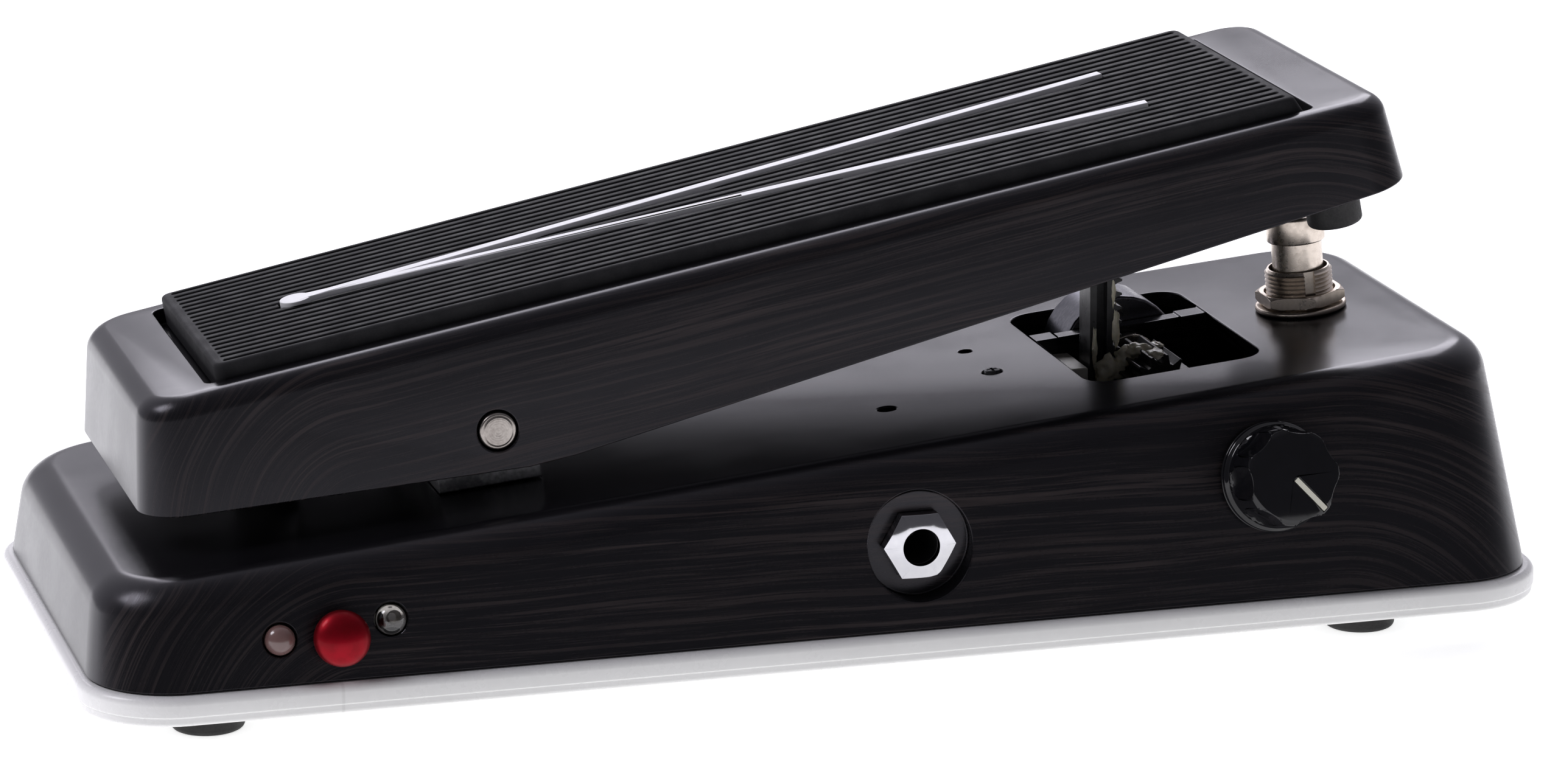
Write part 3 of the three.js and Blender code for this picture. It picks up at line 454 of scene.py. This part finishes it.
def arc(cx, cz, radius, start, end, steps=5):
    """Profile points round a corner; angles in degrees from the outward radius."""
    return [(cx + radius * math.cos(math.radians(start + (end - start) * i / steps)),
             cz + radius * math.sin(math.radians(start + (end - start) * i / steps)))
            for i in range(steps + 1)]


zinc = finish_of("zinc_plated_steel", (0.62, 0.62, 0.6), (0.44, 0.45, 0.46), 0.24, 0.42, 0.8, 0.002,
                 Metallic=1.0)[0]
foot_rubber = finish_of("black_foot_rubber", (0.016, 0.015, 0.015), (0.009, 0.009, 0.01), 0.55, 0.75,
                        0.35, 0.02)[0]
refine("base_plate", "base", zinc, edge=0.3)
for i, (x, y) in enumerate(feet_at, 1):
    spot = Matrix.Translation((x, y + slide, 0))
    foot = turned([(1.8, 2.7), (3.5, 2.7), (3.5, 0.3), *arc(3.8, 0.3, 0.3, 180, 270, 3),
                   *arc(5.2, 0.9, 0.9, 270, 360), (6.0, 4.0), (1.8, 4.0), (1.8, 2.7)], spot)
    fit(foot, f"foot_{i}_rubber", "base", foot_rubber, f"foot_{i}", crease=40)
    refine(f"base_screw_{i}", "base", zinc, edge=0.08)


# The two signal sockets: a black moulded body behind the wall, a threaded nose through the pocket floor,
# a chromed hexagon nut with a turned bevel, and a springy contact leaf across the bore.
chrome = finish_of("bright_chrome", (0.7, 0.7, 0.72), (0.62, 0.62, 0.65), 0.05, 0.1, 1.2, 0.0,
                   Metallic=1.0)[0]
black_plastic = finish_of("black_moulding", (0.014, 0.014, 0.015), (0.009, 0.009, 0.01), 0.35, 0.5,
                          0.5, 0.006)[0]
contact_metal = finish_of("tinned_contact", (0.75, 0.72, 0.66), (0.5, 0.47, 0.42), 0.18, 0.3, 0.5,
                          0.002, Metallic=1.0)[0]


def hexagon(flats, z0, z1, turn=30):
    return rod(flats / math.cos(math.pi / 6), z0, z1, Matrix.Rotation(math.radians(turn), 4, "Z"), 6)


NUT_FLATS, SOCKET_BORE, LEAF_ROOT = 11, 6.4, -3.2
for name, s in (("input", -1), ("output", 1)):
    seat = Matrix.Translation((SOCKET[0], slide + s * POCKET_FLOOR, SOCKET[1])) @ Matrix.Rotation(
        -s * math.pi / 2, 4, "X")
    nose = carve(rod(9.2, -4.3, 1.6), "UNION", slab(-7.5, 7.5, -6.7, 6.7, -24.3, -3.3, 1))
    nose = carve(nose, "DIFFERENCE", rod(SOCKET_BORE, -22.3, 4))
    nose.transform(seat)
    fit(nose, name + "_socket_body", "base", black_plastic, name + "_jack", edge=0.12)
    nut = carve(hexagon(NUT_FLATS, 0.3, 3.3), "INTERSECT", turned(
        [(0, 0.3), (6.35, 0.3), (6.35, 2.2), (3.4, 3.22), (3.2, 3.2), (0, 3.2)], steps=96))
    nut = carve(nut, "DIFFERENCE", rod(9.8, -1, 1.9), rod(SOCKET_BORE, -1, 5, steps=96))
    nut.transform(seat)
    fit(nut, name + "_socket_nut", "base", chrome, name + "_jack_nut", edge=0.06, crease=26)
    leaf = slab(-3.15, 0.4, -0.16, 0.16, -0.35, 0.35, 0.12)
    bmesh.ops.subdivide_edges(leaf, edges=[e for e in leaf.edges if e.calc_length() > 3], cuts=8)
    for v in leaf.verts:
        reach = v.co.x - LEAF_ROOT
        v.co.z -= 1.6 + 0.09 * reach ** 2
        v.co.y += 0.3 + 0.2 * reach
    leaf.transform(seat)
    fit(leaf, name + "_socket_contact", "base", contact_metal)


# Two 5 mm lamps: an amber diffused one and a water-clear one, each a round-nosed epoxy body cast over a
# metal post and a cup that holds the chip.
LAMP_RADIUS, LAMP_DOME, LAMP_BACK = 2.5, 2.15, -9


def epoxy(name, light, dark, pass_through, rough):
    return finish_of(name, light, dark, rough, rough + 0.05, 1.0, 0.0, IOR=1.52,
                     Transmission_Weight=pass_through, Coat_Weight=0.6, Coat_Roughness=0.03)[0]


amber = epoxy("amber_diffused_epoxy", (0.34, 0.2, 0.19), (0.28, 0.16, 0.15), 0.45, 0.2)
clear = epoxy("water_clear_epoxy", (0.86, 0.87, 0.9), (0.82, 0.83, 0.86), 1.0, 0.02)
for i, (at, lens_finish, slot) in enumerate(zip(LAMPS, (amber, clear), ("amber_lens", "clear_lens")), 1):
    dome = [(LAMP_RADIUS * math.cos(a), LAMP_DOME * math.sin(a))
            for a in (k * math.pi / 2 / 12 for k in range(1, 12))]
    body = turned([(0, LAMP_BACK), (LAMP_RADIUS, LAMP_BACK), (LAMP_RADIUS, 0), *dome, (0, LAMP_DOME)],
                  on_wall(*at))
    fit(body, f"lamp_{i}_lens", "base", lens_finish, f"led_{i}", crease=40)
    cup = carve(slab(-0.2, 1.3, -0.7, 0.7, -8.6, -2.2, 0.2), "UNION",
                slab(-1.4, -0.6, -0.5, 0.5, -8.6, -2.8, 0.15))
    cup = carve(cup, "DIFFERENCE", turned([(0, -2.9), (0.28, -2.9), (0.55, -2.1), (0, -2.1)],
                                          Matrix.Translation((0.55, 0, 0)), 24))
    cup.transform(on_wall(*at))
    fit(cup, f"lamp_{i}_frame", "base", contact_metal, edge=0.06)


# The push button: a domed aluminium cap, anodised red, on a stem that works a switch behind the wall.
red = finish_of("red_anodised_aluminium", (0.3, 0.0, 0.009), (0.23, 0.0, 0.006), 0.4, 0.46, 0.12,
                0.001, Metallic=0.85, Coat_Weight=0.12, Coat_Roughness=0.15)[0]
CAP_RADIUS, STEM_RADIUS, STEM_END = 4.65, 2.85, -8.2
DOME_FOOT, DOME_HEIGHT = 3.4, 2.8
dome = [(CAP_RADIUS * math.cos(a), DOME_FOOT + DOME_HEIGHT * math.sin(a))
        for a in (k * math.pi / 2 / 16 for k in range(16))]
cap = turned([(0, STEM_END), (STEM_RADIUS, STEM_END), (STEM_RADIUS, 2.1), (CAP_RADIUS - 0.3, 2.1),
              *arc(CAP_RADIUS - 0.3, 2.4, 0.3, 270, 360, 3), *dome, (0, DOME_FOOT + DOME_HEIGHT)],
             on_wall(*BUTTON), 72)
fit(cap, "button_dome", "button", red, "button_cap", crease=40)
refine("button_switch", "base", black_plastic, edge=0.3)


# The side knob: a gloss black moulding with a skirt, seven flutes and an ivory line, on the shaft of a
# small potentiometer that a hexagon nut holds to the wall.
gloss_black = finish_of("gloss_black_plastic", (0.007, 0.007, 0.009), (0.005, 0.005, 0.006), 0.05, 0.08,
                        2.0, 0.0)[0]
ivory = finish_of("ivory_paint", (0.8, 0.79, 0.68), (0.72, 0.71, 0.6), 0.35, 0.5, 0.4, 0.004)[0]
nickel = finish_of("nickel_plate", (0.66, 0.61, 0.55), (0.5, 0.45, 0.4), 0.16, 0.3, 0.7, 0.001,
                   Metallic=1.0)[0]
FLUTES, FLUTE_OUT, POINTER_TURN, KNOB_TOP = 7, 15.45, math.radians(-48), 11.3
grip = turned([(0, 0.5), (9.15, 0.5), *arc(9.15, 0.8, 0.3, 270, 360, 3), *arc(8.95, 2.0, 0.5, 0, 60, 3),
               (8.75, 2.9), (8.55, 3.6), (8.35, 10.6), (8.2, 10.95), (7.75, 11.2), (7.3, KNOB_TOP),
               (0, KNOB_TOP)], steps=140)
face = on_wall(*KNOB) @ Matrix.Rotation(POINTER_TURN, 4, "Z")
flutes = [turned([(0, 2.7), (6.3, 2.7), (6.9, 3.0), (7.4, 3.6), (7.8, 4.6), (8.0, 6.2), (8.0, 30), (0, 30)],
                 Matrix.Rotation((k + 0.5) * math.tau / FLUTES, 4, "Z") @ Matrix.Translation(
                     (FLUTE_OUT, 0, 0)), 96) for k in range(FLUTES)]
grip = carve(grip, "DIFFERENCE", rod(13, -1, 4.1), rod(6.6, 0, 8.8), *flutes,
             slab(0.4, 7.85, -0.52, 0.52, 10.7, 20))
grip.transform(face)
fit(grip, "knob_moulding", "knob", gloss_black, "knob", edge=0.16, crease=24)
fit(slab(0.47, 7.78, -0.45, 0.45, 10.9, KNOB_TOP, 0.1, face), "knob_line", "knob", ivory,
    "knob_pointer", edge=0.06)
refine("knob_pot", "base", zinc)
refine("knob_pot_nut", "base", nickel, edge=0.2)


# The toe switch: a nickel-plated barrel with a fine thread and a keyway, clamped to the deck by a hexagon
# nut on a washer. Its plunger has a narrow neck and a wider cap that the treadle's bumpers reach down past.
TOE = DECK @ Matrix.Translation((SWITCH_X, 0, 0))
warm_nickel = finish_of("aged_nickel", (0.74, 0.66, 0.58), (0.52, 0.45, 0.38), 0.24, 0.4, 0.9, 0.003,
                        Metallic=1.0)[0]
CREST, ROOT, HALF_PITCH, BARREL_TOP = 6.0, 5.62, 0.375, 7.7
thread = [(CREST if k % 2 else ROOT, -4.6 + HALF_PITCH * k) for k in range(32)]
barrel = turned([(0, -5), (5.6, -5), *thread, (5.7, 7.25), (5.5, BARREL_TOP), (0, BARREL_TOP)], TOE, 72)
barrel = carve(barrel, "UNION", slab(-9, 9, -7.5, 7.5, -22, -3.3, 0.8, TOE))
barrel = carve(barrel, "DIFFERENCE", rod(10.4, -12, 12, TOE), slab(-0.95, 0.95, -7, -5.3, 1, 12, 0, TOE))
fit(barrel, "toe_switch_barrel", "base", warm_nickel, "toe_switch", crease=25)
nut = carve(hexagon(14, 1.4, 3.6, 0), "INTERSECT", turned(
    [(0, 1.4), (7.3, 1.4), (8.1, 1.8), (8.1, 3.1), (7.2, 3.6), (0, 3.6)], steps=72))
nut = carve(nut, "DIFFERENCE", rod(12.6, 0, 8))
nut.transform(TOE)
fit(nut, "toe_switch_hexagon", "base", warm_nickel, "toe_switch_nut", edge=0.12, crease=20)
washer = turned([(6.3, 0.2), (7.8, 0.2), *arc(7.8, 0.5, 0.3, 270, 360, 3), *arc(7.8, 0.8, 0.3, 0, 90, 3),
                 (6.3, 1.1), (6.3, 0.2)], TOE, 72)
fit(washer, "toe_switch_ring", "base", warm_nickel, "toe_switch_washer", crease=40)
plunger = turned([(0, -6), (4.5, -6), (4.5, 12.6), (4.9, 12.6), *arc(4.9, 12.9, 0.3, 270, 360, 3),
                  *arc(4.6, 16.9, 0.6, 0, 90), (0, 17.5)], TOE, 72)
fit(plunger, "toe_switch_cap", "plunger", warm_nickel, "toe_switch_plunger", crease=30)


# A small black screw with a cross-shaped recess, its blacking worn in places, driven into one of the
# three small holes of the deck between the pivot bracket and the toe switch.
plug = carve(turned([(0, -4), (1.5, -4), (1.5, -0.1), (1.35, 0.35), (0.8, 0.5), (0, 0.5)]), "DIFFERENCE",
             slab(-0.9, 0.9, -0.2, 0.2, 0.1, 2), slab(-0.2, 0.2, -0.9, 0.9, 0.1, 2))
plug.transform(DECK @ Matrix.Translation((*SCREW, 0)))
scuffed = finish_of("scuffed_black_screw", (0.16, 0.16, 0.17), (0.012, 0.012, 0.013), 0.3, 0.5, 0.25,
                    0.03, Metallic=0.6)[0]
fit(plug, "deck_screw", "base", scuffed, "deck_plug", edge=0.05)


# The pivot: a cast bracket bolted to the deck, with flanged nylon bushings, a nickel-plated axle whose
# turned ends show in the treadle's sides, a bolt that sets the friction, and a rubber stop at the heel.
cast = finish_of("cast_bracket_metal", (0.3, 0.3, 0.31), (0.1, 0.1, 0.105), 0.35, 0.6, 0.9, 0.03,
                 Metallic=0.8)[0]
nylon = finish_of("natural_nylon", (0.72, 0.7, 0.63), (0.64, 0.62, 0.55), 0.35, 0.5, 0.8, 0.004,
                  Subsurface_Weight=0.1, Subsurface_Radius=(0.002, 0.002, 0.0015))[0]
refine("pivot_bracket", "base", cast, edge=0.35)
for i in (1, 2):
    refine(f"axle_bushing_{i}", "base", nylon)
    refine(f"bracket_screw_{i}", "base", zinc)
refine("tension_bolt", "base", zinc, edge=0.2)
refine("heel_stop", "base", foot_rubber, edge=0.4)
low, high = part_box("axle")
axle_mid = 500 * (low + high)
AXLE = Matrix.Translation(axle_mid) @ Matrix.Rotation(math.pi / 2, 4, "X")
turned_nickel, tree, shader, spread = finish_of(
    "turned_nickel", (0.42, 0.39, 0.36), (0.3, 0.27, 0.25), 0.24, 0.36, 0.5, 0.0, Metallic=1.0)
from_axis = put(tree, "SeparateXYZ", {0: put(tree, "Mapping", {
    "Vector": put(tree, "TexCoord").outputs["Object"], "Location": -axle_mid / 1000}).outputs[0]}).outputs
radius = calc(tree, "SQRT", calc(tree, "ADD", calc(tree, "MULTIPLY", from_axis["X"], from_axis["X"]),
                                 calc(tree, "MULTIPLY", from_axis["Z"], from_axis["Z"])))
cuts = calc(tree, "SINE", calc(tree, "MULTIPLY", radius, 16000.0))  # a tool mark every 0.4 mm
bump = put(tree, "Bump", {"Height": cuts, "Distance": 0.000005, "Strength": 1.0})
tree.links.new(bump.outputs[0], shader.inputs["Normal"])
axle_end = [(0.7, 35.32), (1.9, 35.4), (2.35, 35.36), (2.45, 35.28), *arc(2.75, 34.8, 0.4, 90, 0)]
axle = turned([(0, -35.3), *((r, -z) for r, z in axle_end), *reversed(axle_end), (0, 35.3)], AXLE)
fit(axle, "axle_rod", "treadle", turned_nickel, "axle", crease=25)


# The treadle: a thin-walled casting with rounded corners, a deep skirt that is lowest at the pivot, a
# pocket for the pad in its top, bosses for the axle and the stops, and lugs that hold the rack's pin.
treadle_height, treadle_tilt = 75.47, math.radians(10.51)
TREADLE = Matrix.Translation((0, slide, treadle_height)) @ Matrix.Rotation(-treadle_tilt, 4, "Y")
ebony_treadle = black_with_film("black_paint_and_ebony_film_treadle", TREADLE, -84.0, 80.0, 0.9, 1.1,
                                36.0)
TREADLE_HEEL, TREADLE_TOE = -120.2, 104.3
HALF_AT_HEEL, HALF_AT_TOE, DATUM = 33.5, 38.5, -20  # half widths at the datum, a level under the top
PAD_HEEL, PAD_TOE, PAD_HALF_HEEL, PAD_HALF_TOE = -102.6, 89.8, 25.6, 30.9
AXLE_X, AXLE_Z, BEARING_GAP = -60, -20.5, 26.2
BUMPER_X, BUMPER_Y, HEEL_PAD_X = 93.2, 24, -95
LUG_INNER, LUG_OUTER = 3.3, 5.6


def treadle_block(low, high, inset, corner, rim, steps):
    """Tapered block between two levels, with the treadle's leaning sides inset."""
    bm = bmesh.new()
    bmesh.ops.create_cube(bm, size=2)
    for v in bm.verts:
        z = low if v.co.z < 0 else high
        down = DATUM - z
        if v.co.x < 0:
            x, y = TREADLE_HEEL - 0.23 * down + inset, HALF_AT_HEEL + 0.115 * down - inset
        else:
            x, y = TREADLE_TOE + 0.07 * down - inset, HALF_AT_TOE + 0.135 * down - inset
        v.co = (x, v.co.y * y, z)
    soften(bm, upright(bm), corner, steps)
    bm.normal_update()
    if rim:
        soften(bm, top_face(bm).edges[:], rim, steps - 2)
    return bm


def pocket(grow_heel, grow_toe, grow_side, z0, z1, corner):
    """Tapered plate with the pad's outline, wider at the toe."""
    bm = bmesh.new()
    bmesh.ops.create_cube(bm, size=2)
    for v in bm.verts:
        x = PAD_HEEL - grow_heel if v.co.x < 0 else PAD_TOE + grow_toe
        y = (PAD_HALF_HEEL if v.co.x < 0 else PAD_HALF_TOE) + grow_side
        v.co = (x, v.co.y * y, z0 if v.co.z < 0 else z1)
    soften(bm, upright(bm), corner, 5)
    return bm


def cross_rod(width, x, z, y0, y1):
    y0, y1 = sorted((y0, y1))
    return rod(width, -y1, -y0, Matrix.Translation((x, 0, z)) @ Matrix.Rotation(math.pi / 2, 4, "X"))


SKIRT_EDGE = ((TREADLE_HEEL, -20.9), (-56, -27.7), (-48, -27.7), (102.3, -18))
block = treadle_block(-31, -2.7, 0, 8, 3.3, 12)
for (x0, z0), (x1, z1) in zip(SKIRT_EDGE, SKIRT_EDGE[1:]):
    sliced = bmesh.ops.bisect_plane(block, geom=block.verts[:] + block.edges[:] + block.faces[:],
                                    plane_co=(x0, 0, z0), plane_no=(z1 - z0, 0, x0 - x1),
                                    clear_outer=True)["geom_cut"]
    bmesh.ops.contextual_create(block, geom=[e for e in sliced if isinstance(e, bmesh.types.BMEdge)])
block = carve(block, "DIFFERENCE", treadle_block(-40, -8, 2.3, 5, 0, 8),
              pocket(1.9, 0.6, 0.4, -5.5, 2, 1.6))
PIN = TREADLE.inverted() @ Vector((61.05, slide, 70.5))
share = (AXLE_X - TREADLE_HEEL) / (TREADLE_TOE - TREADLE_HEEL)
skirt = HALF_AT_HEEL + (HALF_AT_TOE - HALF_AT_HEEL) * share + 0.06
axle_bosses = [cross_rod(13, AXLE_X, AXLE_Z, s * BEARING_GAP, s * (skirt - 1)) for s in (-1, 1)]
lugs = [slab(PIN.x - 4, PIN.x + 4, *sorted((s * LUG_INNER, s * LUG_OUTER)), PIN.z, -7.5) for s in (-1, 1)]
lug_ends = [cross_rod(8, PIN.x, PIN.z, s * LUG_INNER, s * LUG_OUTER) for s in (-1, 1)]
bumpers_at = [Matrix.Translation((BUMPER_X, s * BUMPER_Y, 0)) for s in (-1, 1)]
block = carve(block, "UNION", *axle_bosses, *lugs, *lug_ends,
              *(rod(11, -15.8, -7, at) for at in bumpers_at),
              rod(10, -23.4, -7, Matrix.Translation((HEEL_PAD_X, 0, 0))))
block = carve(block, "DIFFERENCE", cross_rod(6.9, AXLE_X, AXLE_Z, -60, 60),
              cross_rod(3.6, PIN.x, PIN.z, -9, 9), *(rod(4.6, -17, -10, at) for at in bumpers_at))
block.transform(TREADLE)
fit(block, "treadle_casting", "treadle", ebony_treadle, "treadle", edge=0.3)


# The tread: a moulded black rubber pad with nineteen lengthwise ribs inside a plain border, and a raised
# white rubber mark let into it, two lines that open out toward the toe.
pad_rubber = finish_of("ribbed_black_rubber", (0.016, 0.016, 0.018), (0.011, 0.011, 0.013), 0.62, 0.76,
                       0.3, 0.006, Specular_IOR_Level=0.3)[0]
mark_rubber = finish_of("white_mark_rubber", (0.93, 0.93, 0.95), (0.88, 0.88, 0.9), 0.35, 0.5, 0.5,
                        0.006)[0]


def on_pad(t, f):
    """Point at a share of the pad's length and of its half width there."""
    half = PAD_HALF_HEEL + (PAD_HALF_TOE - PAD_HALF_HEEL) * t
    return Vector((PAD_HEEL + (PAD_TOE - PAD_HEEL) * t, f * half, 0))


def bar(a, b, wide_a, wide_b, z0, z1, end=0.0):
    """Straight tapered bar from a to b on the pad."""
    bm = bmesh.new()
    bmesh.ops.create_cube(bm, size=2)
    across = (b - a).normalized().cross(Vector((0, 0, 1)))
    for v in bm.verts:
        at, wide = (a, wide_a) if v.co.x < 0 else (b, wide_b)
        v.co = at + across * (-v.co.y * wide) + Vector((0, 0, z0 if v.co.z < 0 else z1))
    if end:
        soften(bm, upright(bm), end, 4)
    return bm


def gather(solids):
    """Put several solids in one mesh, unjoined."""
    whole = bmesh.new()
    for part in solids:
        mesh = bpy.data.meshes.new("part")
        part.to_mesh(mesh)
        part.free()
        whole.from_mesh(mesh)
        bpy.data.meshes.remove(mesh)
    return whole


RIBS, OUTER_GROOVE = 19, 0.93
MARK_HEEL, MARK_TOE, MARK_HALF, DOT_WIDTH = 0.1, 0.88, 1.1, 5.4


def hairpin(grow, z0, z1):
    """The mark's two lines, which cross at its heel end."""
    return [bar(on_pad(MARK_HEEL, -0.02 * s), on_pad(MARK_TOE, 0.42 * s), MARK_HALF + grow,
                MARK_HALF + grow, z0, z1) for s in (-1, 1)]


PAD_TOE_LEAN = 2.3
tread = pocket(0, 0, 0, -5.3, 0, 1.8)
for v in tread.verts:
    if v.co.x > 80 and v.co.z > -1:  # the top corners of the toe end
        v.co.x -= PAD_TOE_LEAN
tread.normal_update()
soften(tread, top_face(tread).edges[:], 0.7, 4)
grooves = gather(bar(on_pad(0.01, f), on_pad(0.981, f), 0.48, 0.58, -0.95, 1, 0.42)
                 for f in (OUTER_GROOVE * (2 * i / RIBS - 1) for i in range(RIBS + 1)))
dot_at = Matrix.Translation(on_pad(MARK_HEEL, 0))
tread = carve(tread, "DIFFERENCE", grooves, *hairpin(0.3, -1.6, 1), rod(DOT_WIDTH + 0.6, -1.6, 1, dot_at))
tread.transform(TREADLE)
fit(tread, "tread_pad", "treadle", pad_rubber, "pad", edge=0.3, crease=35)
near_line, far_line = hairpin(0, -1.4, 0.6)
mark = carve(near_line, "UNION", far_line, rod(DOT_WIDTH, -1.4, 0.6, dot_at))
mark.transform(TREADLE)
fit(mark, "tread_mark", "treadle", mark_rubber, "pad_inlay", edge=0.15)
for i, at in enumerate(bumpers_at, 1):
    bumper = turned([(0, -25.8), (4.0, -25.8), *arc(4.0, -25.0, 0.8, 270, 360), (4.8, -16.1), (2, -16.1),
                     (2, -10.8), (0, -10.8)], TREADLE @ at)
    fit(bumper, f"bumper_{i}", "treadle", foot_rubber, f"toe_bumper_{i}", crease=40)


# The sweep drive: a rack hung on a pin under the treadle turns a wide pinion on the shaft of a
# potentiometer, which a nut holds to the divider wall. Pale grease lies on the teeth.
rack_plastic = finish_of("rack_moulding", (0.05, 0.05, 0.052), (0.01, 0.01, 0.011), 0.25, 0.5, 1.6, 0.01)[0]
pinion_plastic = finish_of("greasy_pinion_moulding", (0.03, 0.029, 0.028), (0.008, 0.008, 0.008), 0.3,
                           0.5, 0.5, 0.03)[0]
can_steel = finish_of("potentiometer_can", (0.2, 0.2, 0.22), (0.12, 0.12, 0.14), 0.22, 0.36, 0.8, 0.002,
                      Metallic=1.0)[0]
refine("rack", "rack", rack_plastic, edge=0.12)
refine("pinion", "pinion", pinion_plastic, edge=0.1)
refine("rack_pin", "treadle", zinc, edge=0.3)
refine("rack_guide", "base", nylon, edge=0.3)
refine("sweep_pot", "base", can_steel, edge=0.5)
refine("sweep_pot_nut", "base", nickel, edge=0.3)
grease = finish_of("pale_grease", (0.85, 0.81, 0.66), (0.7, 0.66, 0.5), 0.14, 0.3, 0.5, 0.02,
                   Subsurface_Weight=0.3, Subsurface_Radius=(0.002, 0.0015, 0.0008))[0]


def dab(at, size, squeeze, seed):
    """Lump of grease: a ball pressed flat and pulled about."""
    bm = bmesh.new()
    bmesh.ops.create_icosphere(bm, subdivisions=3, radius=1)
    for v in bm.verts:
        v.co *= 1 + 0.55 * noise.noise(v.co * 1.7 + Vector((seed, 0, 0))) + 0.18 * noise.noise(
            v.co * 5 + Vector((0, seed, 0)))
        v.co = Vector(at) + Vector((v.co.x * squeeze[0], v.co.y * squeeze[1], v.co.z * squeeze[2])) * size
    return bm


fit(gather((dab((62.0, slide - 4.0, 38.4), 2.3, (1.2, 0.5, 1.0), 1.0),
            dab((59.6, slide - 3.3, 42.4), 1.0, (0.4, 0.4, 3.6), 2.0),
            dab((65.0, slide - 3.6, 40.4), 1.7, (1.2, 0.7, 1.1), 3.0),
            dab((63.6, slide - 2.8, 45.6), 0.8, (0.8, 0.8, 4.6), 4.0),
            dab((63.1, slide - 2.9, 52.2), 0.55, (0.7, 0.6, 4.4), 8.0))),
    "grease_on_rack", "rack", grease, crease=80)
fit(gather((dab((67.6, slide - 4.2, 41.7), 1.6, (1.4, 1.3, 0.7), 5.0),
            dab((68.8, slide - 9.4, 42.2), 1.1, (1.4, 2.2, 0.6), 6.0),
            dab((71.5, slide - 1.6, 41.6), 0.9, (1.3, 1.5, 0.6), 7.0))),
    "grease_on_pinion", "pinion", grease, crease=80)


# The electrics inside, out of sight in use: a circuit board with green solder mask, a nine-volt cell in a
# dark metal sleeve, and the moulded snap connector on its end.
board = finish_of("solder_mask", (0.02, 0.11, 0.06), (0.012, 0.07, 0.04), 0.2, 0.35, 1.0, 0.01)[0]
sleeve = finish_of("cell_sleeve", (0.09, 0.09, 0.1), (0.05, 0.05, 0.06), 0.2, 0.3, 2.0, 0.0,
                   Metallic=0.7)[0]
refine("circuit_board", "base", board)
refine("battery", "base", sleeve, edge=0.5)
refine("battery_snap", "base", black_plastic, edge=0.4)
